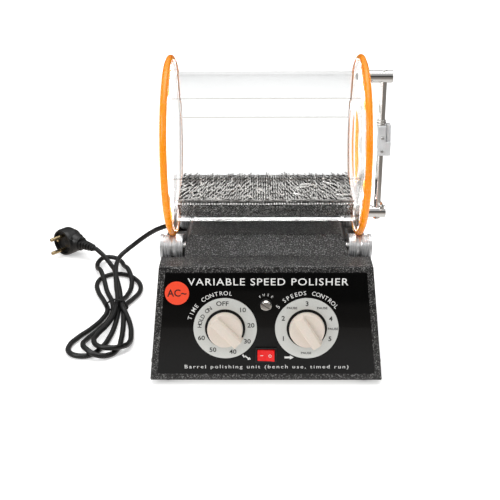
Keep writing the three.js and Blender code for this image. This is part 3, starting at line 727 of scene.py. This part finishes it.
def arc_letters(bm, text, size, x, s, radius, first, last, z, bold=0.02):
    """Lettering round a dial; the angles are clockwise from twelve o'clock."""
    for k, letter in enumerate(text):
        if letter == " ":
            continue
        angle = radians(first + (last - first) * k / max(1, len(text) - 1))
        spot = Matrix.Translation((x + radius * sin(angle), s + radius * cos(angle), z))
        letters(bm, letter, size, PANEL @ spot @ Matrix.Rotation(-angle, 4, "Z"), bold=bold)


def upright(bm, text, size, x, s, radius, angle, z, bold=0.02, wide=1.0):
    turn = radians(angle)
    spot = Matrix.Translation((x + radius * sin(turn), s + radius * cos(turn), z))
    letters(bm, text, size, PANEL @ spot, bold=bold, wide=wide)


def panel_print():
    z = PANEL_FACE + 0.05
    bm = bmesh.new()
    title = PANEL @ Matrix.Translation((2, 102, z))
    letters(bm, "VARIABLE SPEED POLISHER", 10.2, title, 1.14, 0.04, 1.14)
    foot = PANEL @ Matrix.Translation((0.5, 13.4, z))
    letters(bm, "Barrel polishing unit (bench use, timed run)", 5.2, foot, 1.32, 0.01, 1.3)
    radius = DIAL_R + 4.6
    arc_letters(bm, "TIME CONTROL", 6.0, -DIAL_X, DIAL_S, radius, -73, 9, z, 0.01)
    arc_letters(bm, "5 SPEEDS CONTROL", 6.0, DIAL_X, DIAL_S, radius, -52, 52, z, 0.01)
    arc_letters(bm, "FUSE", 3.2, 0, FUSE_S, FUSE_R + 4.2, -38, 38, z, 0.03)
    arrows(bm, z)
    piece("panel_print", bm, "white_ink", "base", sharp=30)


def arrows(bm, z):
    """A straight arrow right of the switch and a bent double one left of it."""
    def flat(points):
        skin(bm, [[bm.verts.new(PANEL @ Vector((x, s, z + h))) for x, s in points] for h in (-0.04, 0.04)])
    s = ROCKER_S - 3
    flat([(18.5, s - 1), (24, s - 1), (24, s - 2.2), (28, s), (24, s + 2.2), (24, s + 1), (18.5, s + 1)])
    bent = [(-6.5, 3.6), (-4.6, 0.6), (-3.6, 2.0), (-0.6, -0.6), (-0.9, -1.7), (2.4, -1.2), (1.0, 1.4),
            (0.2, 0.4), (-3.2, 3.2), (-4.2, 2.2), (-5.0, 4.4)]
    flat([(x - 17.5, s + y - 1) for x, y in bent])


def dial_print():
    z = DIAL_Z + 1 + 0.05
    timer = bmesh.new()
    marks = [("OFF", -5.5), ("10", 42), ("20", 83), ("30", 122), ("40", 163), ("50", 209), ("60", 247)]
    for text, angle in marks:
        upright(timer, text, 6.5, -DIAL_X, DIAL_S, 25.8, angle, z, 0.10, 1.1)
    arc_letters(timer, "HOLD ON", 5.6, -DIAL_X, DIAL_S, 25.2, -84, -36, z, 0.06)
    piece("timer_dial_print", timer, "black_ink", "base", sharp=30)
    speed = bmesh.new()
    for text, angle in (("1", -115), ("2", -66), ("3", 0), ("4", 67), ("5", 115.5)):
        upright(speed, text, 6.8, DIAL_X, DIAL_S, 25.6, angle, z, 0.14)
    for angle in (-35, 35, 91, 181):
        upright(speed, "PAUSE", 3.2, DIAL_X, DIAL_S, 25.9, angle, z, 0.05, 1.15)
    piece("speed_dial_print", speed, "black_ink", "base", sharp=30)


# ---- controls ----
def dials():
    z = PANEL_FACE
    for name, x in (("timer", -DIAL_X), ("speed", DIAL_X)):
        place = on_panel(x, DIAL_S)
        plate = lathe(rod(DIAL_Z, DIAL_Z + 1, DIAL_R, DIAL_HOLE), 128, 0.25)
        piece(f"{name}_dial_ring", plate, "dial_silver", "base", place, [f"{name}_dial"])
        # A thin matte black ring inside each dial ring: painted shade of the recess round the knob.
        well = lathe([(z + 0.02, 4.6), (z + 0.25, 4.6), (z + 0.25, DIAL_HOLE - 0.4),
                      (z + 0.9, DIAL_HOLE - 0.1), (z + 0.02, DIAL_HOLE - 0.05)], 96, 0)
        piece(f"{name}_dial_shade_well", well, "recess", "base", place, ())


def knobs():
    z0 = PANEL_FACE + 2.4
    top = z0 + KNOB_H
    upward = along((0, 0, 1), 0, 0, 0)
    for name, x, turn in (("timer", -DIAL_X, TIMER_REST), ("speed", DIAL_X, SPEED_REST)):
        skirt = lathe([(z0, 0), (z0, KNOB_R), (z0 + 3.5, KNOB_R), (top - 3.4, KNOB_R - 0.7),
                       (top - 3, KNOB_R - 1.6), (top - 3.2, 0)], 96, 0.7, place=upward)
        tip = Matrix.Rotation(-radians(turn), 4, "Z")
        grip = block((-6.6, 6.6), (-KNOB_R + 0.4, KNOB_R + 1.9), (z0 + 2, top + 3), 0.9, 4,
                     taper=((-4.4, 4.4), (-KNOB_R + 1.6, KNOB_R + 0.6)), place=tip)
        stem = lathe(rod(-7, z0 + 1, 3), 24, 0.3, place=upward)
        whole = carved(skirt, [grip, stem], "UNION")
        body, place = f"{name}_control", PANEL @ Matrix.Translation((x, DIAL_S, 0))
        piece(f"{name}_pointer_knob", whole, "ivory", body, place, [f"{name}_knob"], sharp=28)
        line = block((-0.35, 0.35), (KNOB_R - 5.5, KNOB_R - 0.2), (top + 2.85, top + 3.03), 0, place=tip)
        piece(f"{name}_knob_line", line, "ivory", body, place)


def switch():
    z = PANEL_FACE + 0.3
    half_w, half_h = ROCKER_W / 2, ROCKER_H / 2
    flange = block((-half_w - 0.8, half_w + 0.8), (-half_h - 0.8, half_h + 0.8), (z, z + BEZEL), 0.5, 3)
    body = block((-half_w, half_w), (-half_h, half_h), (-16, z + 0.5), 0.3)
    well = block((-half_w + 0.9, half_w - 0.9), (-half_h + 0.7, half_h - 0.7), (-6, z + 5), 0.3)
    whole = carved(carved(flange, [body], "UNION"), [well])
    place = PANEL @ Matrix.Translation((0, ROCKER_S, 0))
    piece("switch_frame", whole, "rubber", "base", place, ["switch_housing"])
    w, h, top = (ROCKER_W - 3) / 2, (ROCKER_H - 2.4) / 2, z + BEZEL
    rise = tan(radians(ROCKER_TILT)) * w
    bm = bmesh.new()
    outline = [(-w + 1.8, -4), (w - 1.8, -4), (w, 0), (w, rise + 0.9), (0, 0.9), (-w, 0.9), (-w, 0)]
    skin(bm, [[bm.verts.new((x, y, top + up)) for x, up in outline] for y in (-h, h)])
    round_edges(bm, 0.35, 3)
    piece("switch_rocker", bm, "red_switch", "power_switch", place, ["rocker_button"])
    marks = block((-w * 0.5 - 1.5, -w * 0.5 + 1.5), (-0.28, 0.28), (top + 0.86, top + 0.98), 0)
    lean = (Matrix.Translation((w * 0.48, 0, top + 0.9 + rise * 0.5))
            @ Matrix.Rotation(-radians(13.5), 4, "Y"))
    merge(marks, lathe(rod(0, 0.12, 1.6, 1.15), 40, 0, place=lean @ along((0, 0, 1), 0, 0, 0)))
    piece("switch_marks", marks, "white_ink", "power_switch", place)


def fuse():
    z = PANEL_FACE + 0.3
    place = on_panel(0, FUSE_S)
    holder = lathe([(-24, 3.2), (-24, 4), (z, 4), (z, 6), (z + 1.4, 6), (z + 1.4, 3.2)], 56, 0.25)
    piece("fuse_sleeve", holder, "rubber", "base", place, ["fuse_holder"])
    cap = lathe([(-4, 0), (-4, 2.9), (z + 1.7, 2.9), (z + 1.7, FUSE_R), (z + 5.6, FUSE_R),
                 (z + 7, FUSE_R - 1.2), (z + 7, 0)], 56, 0.3)
    slot = block((z + 5.6, z + 9), (-0.75, 0.75), (-4.6, 4.6), 0,
                 place=Matrix.Rotation(radians(-35), 4, "X"))
    piece("fuse_screw_cap", carved(cap, [slot]), "chrome", "fuse_closure", place, ["fuse_cap"], sharp=30)


def sticker():
    z = PANEL_FACE + 0.3
    disc = lathe(rod(z, z + 0.4, LABEL_R), 96, 0.12)
    place = on_panel(LABEL_X, LABEL_S)
    piece("mains_sticker", disc, "label", "base", place, ["voltage_label"])
    bm = bmesh.new()
    spot = PANEL @ Matrix.Translation((LABEL_X, LABEL_S - 0.2, z + 0.45))
    letters(bm, "AC~", 10.5, spot, 1.0, 0.12, 0.92)
    piece("sticker_print", bm, "black_ink", "base")


# ---- rollers and their drive ----
def roller_profile():
    """From the inner face: a plain band, the ring's groove, fine grip ribs and an end band."""
    grip = ROLLER_R - 0.9
    profile = [(84, SHAFT_R + 0.1), (84, ROLLER_R), (91.2, ROLLER_R), (92.2, ROLLER_R - 1.4),
               (93, GROOVE_R + 0.6), (94, GROOVE_R), (96, GROOVE_R), (97, GROOVE_R + 0.6), (97.4, grip)]
    for k in range(5):
        x = 97.8 + k * 1.1
        profile += [(x, grip), (x + 0.4, grip - 0.45), (x + 0.7, grip - 0.45), (x + 1.0, grip)]
    return profile + [(103.5, grip), (103.8, ROLLER_R), (107, ROLLER_R), (107, SHAFT_R + 0.1)]


def rollers():
    for end, row in ((-1, "front"), (1, "rear")):
        body = f"{row}_roller_shaft"
        place = Matrix.Translation((0, end * ROLLER_Y, ROLLER_Z))
        for side, column in ((-1, "left"), (1, "right")):
            bm = lathe([(side * x, r) for x, r in roller_profile()], 72, 0.25)
            name = f"roller_{row}_{column}"
            piece(f"{name}_wheel", bm, "aluminium", body, place, [name], sharp=24)
        axle = lathe(rod(-AXLE_END, AXLE_END, SHAFT_R), 40, 0.8)
        piece(f"{row}_axle", axle, "chrome", body, place, [f"{row}_shaft"])
        ends = bmesh.new()
        for side in (-1, 1):
            screw(ends, along((side, 0, 0), side * (AXLE_END - 0.2), 0, 0), 2.6)
        piece(f"{row}_axle_screws", ends, "plain_steel", body, place, sharp=40)


# ---- barrel ----
def hexagon(flats, x0, x1):
    bm = bmesh.new()
    r = flats / sqrt(3)
    turns = [radians(HEX_TURN + 60 * k) for k in range(6)]
    return skin(bm, [[bm.verts.new((x, r * cos(a), r * sin(a))) for a in turns]
                     for x in (x0, x1)])


DRUM = Matrix.Translation((0, 0, DRUM_Z))


def mark_edges(mesh):
    """Gives the narrow faces along the hexagon's corners a darker tinted acrylic: painted shade for the
    thin dark lines seen along the corners.
    """
    mesh.materials.append(PAINT["acrylic_edge"])
    facets = [radians(HEX_TURN + 30 + 60 * k) for k in range(6)]
    for face in mesh.polygons:
        _, y, z = face.normal
        faces_out = any(abs(y * cos(a) + z * sin(a)) > 0.995 for a in facets)
        face.material_index = 0 if abs(face.normal.x) > 0.5 or faces_out else 1


def barrel():
    reach = DISC_X[0] - 0.3
    outer = hexagon(HEX_FLATS, -reach, reach)
    round_edges(outer, 0.8, 2)
    walls = carved(outer, [hexagon(HEX_FLATS - 2 * HEX_WALL, -reach - 1, reach + 1)])
    tube = piece("barrel_walls", walls, "acrylic", "drum", DRUM, ["barrel"], sharp=20)
    mark_edges(tube.data)
    groove = RING_TUBE + 0.3
    arc = [pi - pi * k / 12 for k in range(13)]
    seat = [(RING_X + groove * cos(a), RING_R - groove * sin(a)) for a in arc
            if RING_R - groove * sin(a) < DISC_R]
    for side, column, hole in ((-1, "left", 0), (1, "right", LID_HOLE)):
        x0, x1 = DISC_X
        profile = [(x0, hole), (x0, DISC_R), *seat, (x1, DISC_R), (x1, hole)]
        disc = lathe([(side * x, r) for x, r in profile], 160, 0.15)
        piece(f"drum_disc_{column}", disc, "acrylic_disc", "drum", DRUM, [f"end_disc_{column}"],
              20)
        tyre = lathe([(side * RING_X + RING_TUBE * cos(a), RING_R + RING_TUBE * sin(a))
                      for a in (2 * pi * k / 24 for k in range(24))], 192, 0)
        piece(f"tyre_{column}", tyre, "orange_ring", "drum", DRUM, [f"drive_ring_{column}"], sharp=60)


def lid():
    seal = lathe(rod(99.3, 101.3, 40, 33), 96, 0.6)
    piece("lid_gasket", seal, "white_seal", "drum", DRUM, ["lid_seal"])
    piece("lid_plate", lathe(rod(*LID_X, LID_R), 128, 0.5), "acrylic", "drum", DRUM, ["lid"], sharp=20)
    pad = lathe(rod(LID_X[1] + 0.3, LID_X[1] + 2.3, 9), 64, 0.4)
    piece("lid_pad", pad, "chrome", "drum", DRUM, ["lid_pressure_plate"])


def bar_bore():
    return lathe(rod(-90, 90, BAR_R + 0.3), 48, 0, place=along((0, 0, 1), BAR_X, 0, 0))


def posts():
    for z, name, body in ((POST_Z, "pivot_post", "closure_arm"), (-POST_Z, "latch_post", "drum")):
        post = lathe(rod(99.3, POST_END, POST_R), 96, 0.8, place=Matrix.Translation((0, 0, z)))
        cutters = [bar_bore()]
        if name == "latch_post":
            cutters.append(block((BAR_X - BAR_R - 0.3, BAR_X + BAR_R + 0.3), (0, 10), (-100, -50), 0))
            for shift in (-1, 1):
                spot = (Matrix.Translation((BAR_X + shift * 4.6, 0, z + POST_R + 0.4))
                        @ Matrix.Rotation(radians(45), 4, "Y"))
                cutters.append(block((-1.3, 1.3), (-9, 9), (-1.3, 1.3), 0, place=spot))
        post = carved(post, cutters)
        piece(f"{name}_turned", post, "chrome", body, DRUM, [name], sharp=24)
        bm = bmesh.new()
        screw(bm, along((-1, 0, 0), DISC_X[0] - 0.1, 0, z), 3.4)
        piece(f"{name}_screw", bm, "plain_steel", "drum", DRUM, sharp=40)
    bar = lathe(rod(-POST_Z - 7.5, POST_Z + 4, BAR_R), 56, 0.6)
    place = DRUM @ along((0, 0, 1), BAR_X, 0, 0)
    piece("closure_bar", bar, "chrome", "closure_arm", place, ["clamp_bar"])


def clamp():
    x, y, z = BLOCK_X, BLOCK_Y, BLOCK_Z
    body = block(x, (-y, y), z, 0.7)
    lugs = [block((x[1] - 0.5, LEVER_END - 0.3), sorted((s * (y - 2.4), s * y)), (z[0], 6), 0.6)
            for s in (-1, 1)]
    hole = lathe(rod(100, x[1] - 1, 2.8), 32, 0)
    whole = carved(carved(body, lugs, "UNION"), [bar_bore(), hole])
    piece("closure_block", whole, "milled", "closure_arm", DRUM, ["clamp_block"], 30)
    tip = lathe(rod(110.2, 112.9, 2.5), 32, 0.3)
    piece("closure_pin", tip, "chrome", "closure_arm", DRUM, ["pressure_pin"])
    lever = block((x[1] + 0.9, LEVER_END), (-y + 2.8, y - 2.8), (0, z[1] + 1), 0.6)
    for v in lever.verts:
        if v.co.z > z[1] - 5:
            v.co.x -= (v.co.z - z[1] + 5) * 0.12 * (v.co.x > x[1] + 3)
    piece("closure_lever", lever, "milled", "locking_lever", DRUM, ["clamp_lever"], 30)
    collar = bmesh.new()
    for start, r in ((z[1] + 0.2, BAR_R + 1.5), (z[1] + 2.8, BAR_R + 1.0)):
        lathe(rod(start, start + 2.2, r, BAR_R + 0.1), 40, 0.3, bm=collar,
              place=along((0, 0, 1), BAR_X, 0, 0))
    piece("closure_collar", collar, "chrome", "closure_arm", DRUM)
    pin = lathe(rod(-y + 0.1, y - 0.1, 1.5), 28, 0.2,
                place=along((0, 1, 0), LEVER_PIN[0], 0, LEVER_PIN[1]))
    for height in (10, -4):
        screw(pin, along((0, -1, 0), BAR_X + 1, -y, height), 1.7, cross=False)
    piece("closure_screws", pin, "plain_steel", "closure_arm", DRUM, sharp=40)


# ---- the load of steel pins ----
PIN_LENGTH, PIN_R = 11.0, 0.86
LOAD_END, LOAD_R, LOAD_SLOPE, CORE_R = 88.5, 61.2, 0.08, 58.6


def add_pin(verts, faces, centre, direction, length):
    """A six-sided pin with chamfered ends."""
    turn = Vector((0, 0, 1)).rotation_difference(direction).to_matrix()
    start, n = len(verts), 6
    for share, size in ((-0.5, 0.55), (-0.44, 1.0), (0.44, 1.0), (0.5, 0.55)):
        for k in range(n):
            angle = 2 * pi * k / n
            spot = Vector((PIN_R * size * cos(angle), PIN_R * size * sin(angle), share * length))
            verts.append(centre + turn @ spot)
    for ring in range(3):
        for k in range(n):
            j = (k + 1) % n
            a = start + ring * n
            faces.append((a + k, a + j, a + n + j, a + n + k))
    faces.append(tuple(start + k for k in reversed(range(n))))
    faces.append(tuple(start + 3 * n + k for k in range(n)))


def pins_piece(name, verts, faces, body, replaced, paint="steel_pins"):
    mesh = bpy.data.meshes.new("pins")
    mesh.from_pydata(verts, [], faces)
    bm = bmesh.new()
    bm.from_mesh(mesh)
    piece(name, bm, paint, body, DRUM, replaced, 50)


def round_axis(angle):
    """The way out from the barrel's axis at an angle, and the way round it."""
    return (Vector((0, cos(angle), sin(angle))),
            Vector((0, -sin(angle), cos(angle))))


def core_piece(name, body, outline, xs):
    """A near-black mass under a layer of pins, painted shade for the gaps between them: an outline of
    (radius, angle) drawn out along X.
    """
    core = bmesh.new()
    skin(core, [[core.verts.new((x, r * cos(a), r * sin(a))) for r, a in outline] for x in xs])
    piece(name, core, "pin_shade_core", body, DRUM, (), 50)


def corner_pins():
    """Pins end on in rows at the two walls that meet in the barrel's lowest corner, a few lying flat."""
    apothem = HEX_FLATS / 2 - HEX_WALL
    corner = radians(HEX_TURN + 240)
    side = apothem / sqrt(3)
    verts, faces = [], []
    for way in (-1, 1):
        out, round_way = round_axis(corner + way * pi / 6)
        for row in range(9):
            for place in range(64):
                t = way * (-side + 2.4 + row * 2.6 + random.uniform(-0.2, 0.2))
                x = -86 + (place + 0.5 * (row % 2)) * 2.7 + random.uniform(-0.2, 0.2)
                flat = random.random() < 0.12
                length = 3.5 if flat else 2.2
                depth = 1.0 if flat else 1.3 + random.uniform(0, 0.5)
                centre = out * (apothem - depth) + round_way * t
                centre.x = x
                slant = round_way if flat else (out + round_way * random.gauss(0, 0.14)).normalized()
                inside = abs(t) > 12.5 and side - abs(t) > 1.9
                if inside and centre.z < -MEDIA_LEVEL - 1.5:
                    add_pin(verts, faces, centre, slant, length)
    pins_piece("corner_pins_loose", verts, faces, "drum", ["corner_pins"])
    # A near-black core behind the corner pins paints the shade between them.
    tip = (apothem - 2.2) / cos(pi / 6)
    outline = [(tip, corner)] + [(63.2, corner + radians(a)) for a in (18, 9, 0, -9, -18)]
    core_piece("corner_pins_core", "drum", outline, (-88, -44, 0, 44, 88))


def lay_pin(verts, faces, x, y, depth, heading, tilt):
    """One pin just under the load's sloping top, if all of it fits in the barrel."""
    flat = cos(tilt)
    direction = Vector((cos(heading) * flat, sin(heading) * flat, sin(tilt)))
    z = -MEDIA_LEVEL + y * LOAD_SLOPE - depth
    length = min(PIN_LENGTH, 2 * (LOAD_END - abs(x)))
    if hypot(abs(y) + abs(direction.y) * length / 2, z - 0.8) < LOAD_R:
        add_pin(verts, faces, Vector((x, y, z)), direction, length)


def top_pins(bright, in_shade):
    """Rows of nearly parallel pins that lean at the load's ends, and a few thrown over them."""
    across = pi / 2
    for column in range(72):
        x = -86.2 + column * 2.43
        swirl = 0.6 * (x / 88) ** 3 + 0.12 * sin(x * 0.06)
        y = -47 - random.uniform(0, PIN_LENGTH)
        while y < 47:
            # Most pins at the back go to the darker copy: painted shade.
            far = y > 12 and random.random() < 0.75
            lay_pin(*(in_shade if far else bright), x + random.uniform(-0.1, 0.1), y,
                    1.9 + random.uniform(-0.5, 0.4), across + swirl + random.gauss(0, 0.03),
                    random.gauss(-0.04, 0.03))
            y += PIN_LENGTH * random.uniform(0.86, 0.98)
    for _ in range(90):
        lay_pin(*bright, random.uniform(-87, 87), random.uniform(-42, 12), random.uniform(0.9, 1.3),
                across + random.gauss(0, 0.6), random.gauss(0, 0.05))


def side_pins(verts, faces):
    """Pins every way round the curved side of the load."""
    low = asin(MEDIA_LEVEL / LOAD_R)
    for _ in range(1700):
        angle = random.uniform(-pi + low, -low)
        r = LOAD_R - random.uniform(1.9, 3.4)
        x = random.uniform(-87, 87)
        out, round_way = round_axis(angle)
        heading = random.gauss(0.9, 0.7)
        direction = Vector((1, 0, 0)) * cos(heading) + round_way * sin(heading)
        direction.normalize()
        length = min(PIN_LENGTH, 2 * (LOAD_END - abs(x)))
        centre = out * r + Vector((x, 0, 0))
        bulge = hypot(r, direction.dot(round_way) * length / 2) + PIN_R
        if bulge < LOAD_R and centre.z + abs(direction.z) * length / 2 < -MEDIA_LEVEL - 0.4:
            add_pin(verts, faces, centre, direction, length)


def steel_pins():
    """The load: bright pins on top, darker copies at its back and sides as painted shade, and a near-black
    core that paints the shade between the pins.
    """
    bright, in_shade = ([], []), ([], [])
    top_pins(bright, in_shade)
    pins_piece("steel_pins", *bright, "media_load", ["polishing_media"])
    side_pins(*in_shade)
    pins_piece("lower_pins", *in_shade, "media_load", (), "shaded_pins")
    first = asin((MEDIA_LEVEL + 3.2) / CORE_R)
    arc = [-pi + first + (pi - 2 * first) * k / 24 + LOAD_SLOPE for k in range(25)]
    core_piece("pin_shade_core", "media_load", [(CORE_R, a) for a in arc], range(-88, 89, 16))


# ---- hidden and carried-over parts ----
CARRIED = {
    "plain_steel": ["bottom_plate", "timer_mechanism", "speed_switch", "side_frame_left",
                    "side_frame_right", "motor", "motor_cradle"],
    "ivory": ["bearing_front_left", "bearing_rear_left", "bearing_front_right", "bearing_rear_right"],
    "aluminium": ["shaft_pulley"],
    "brass": ["motor_pulley"],
    "circuit": ["control_board"],
    "rubber": ["drive_belt"],
}


def carried_over():
    for paint, names in CARRIED.items():
        for name in names:
            slots = NODES[name].data.materials
            slots.clear()
            slots.append(PAINT[paint])
            soften(NODES[name])


for build in (base_shell, base_screws, feet, panel_plate, panel_print, dial_print, dials, knobs, switch,
              fuse, sticker, rollers, barrel, lid, posts, clamp, steel_pins, corner_pins, carried_over):
    build()


# ---- floor and light ----
def floor():
    bm = bmesh.new()
    bmesh.ops.create_grid(bm, x_segments=2, y_segments=2, size=6)
    mesh = bpy.data.meshes.new("floor")
    bm.to_mesh(mesh)
    bm.free()
    paint, tree, bsdf = shader("floor", (0.93, 0.93, 0.93), 0.7)
    # The floor glows by itself, from 0.45 within half a metre of its centre to 1.0 two metres out: painted
    # light that keeps it white where the lamps fall off.
    bsdf.inputs["Emission Color"].default_value = (1, 1, 1, 1)
    place = node(tree, "ShaderNodeTexCoord")
    length = node(tree, "ShaderNodeVectorMath", operation="LENGTH")
    tree.links.new(place.outputs["Object"], length.inputs[0])
    away = length.outputs["Value"]
    tree.links.new(spread_over(tree, away, 0.5, 2.0, 0.45, 1.0), bsdf.inputs["Emission Strength"])
    # Glossy rays see a painted reflection instead: a glow that darkens from pale at 0.2 m to dark at 0.6 m
    # from the centre.
    tones = [(0.0, (0.92, 0.90, 0.88)), (0.35, (0.60, 0.55, 0.51)), (1.0, (0.26, 0.24, 0.22))]
    floor_painted_reflection = node(tree, "ShaderNodeEmission", Strength=0.9)
    tree.links.new(ramp(tree, spread_over(tree, away, 0.2, 0.6), tones), floor_painted_reflection.inputs["Color"])
    shiny = of_rays(tree, "Is Glossy Ray", "Is Transmission Ray", "SUBTRACT")
    show_mix(tree, shiny, bsdf.outputs["BSDF"], floor_painted_reflection.outputs["Emission"])
    mesh.materials.append(paint)
    ground = link(bpy.data.objects.new("floor", mesh))
    ground.location = (0, 0, -0.0003)


def lamp(name, size, where, towards, watts):
    data = bpy.data.lights.new(name, "AREA")
    data.shape = "RECTANGLE"
    data.size, data.size_y = size
    data.energy = watts
    obj = link(bpy.data.objects.new(name, data))
    obj.location = where
    obj.rotation_euler = (Vector(where) - Vector(towards)).to_track_quat("Z", "Y").to_euler()


def studio():
    """Three soft lamps; the surroundings are white when seen, and dark low down in reflections."""
    lamp("top", (1.6, 1.4), (0.0, 0.15, 1.7), (0, 0, 0.1), 18)
    lamp("front_left", (0.6, 0.6), (-1.3, -0.9, 1.1), (0, 0, 0.12), 10)
    lamp("front_right", (0.7, 1.0), (1.3, -0.8, 0.9), (0, 0, 0.12), 3.5)
    world = bpy.data.worlds.new("studio")
    bpy.context.scene.world = world
    world.use_nodes = True
    tree = world.node_tree
    white = tree.nodes["Background"]
    white.inputs["Color"].default_value = (1, 1, 1, 1)
    white.inputs["Strength"].default_value = 1.0
    around = node(tree, "ShaderNodeBackground", Strength=0.55)
    tones = [(0.0, (0.02, 0.02, 0.02)), (0.5, (0.04, 0.037, 0.033)), (0.64, (0.16, 0.155, 0.15)),
             (0.78, (0.9, 0.9, 0.9)), (1.0, (1, 1, 1))]
    upward = spread_over(tree, height_in(tree, "Generated"), -1, 1)
    tree.links.new(ramp(tree, upward, tones), around.inputs["Color"])
    seen = of_rays(tree, "Is Camera Ray", "Is Transmission Ray", "MAXIMUM")
    show_mix(tree, seen, around.outputs["Background"], white.outputs["Background"], "World Output")
    bpy.context.scene.view_settings.view_transform = "Standard"


floor()
studio()
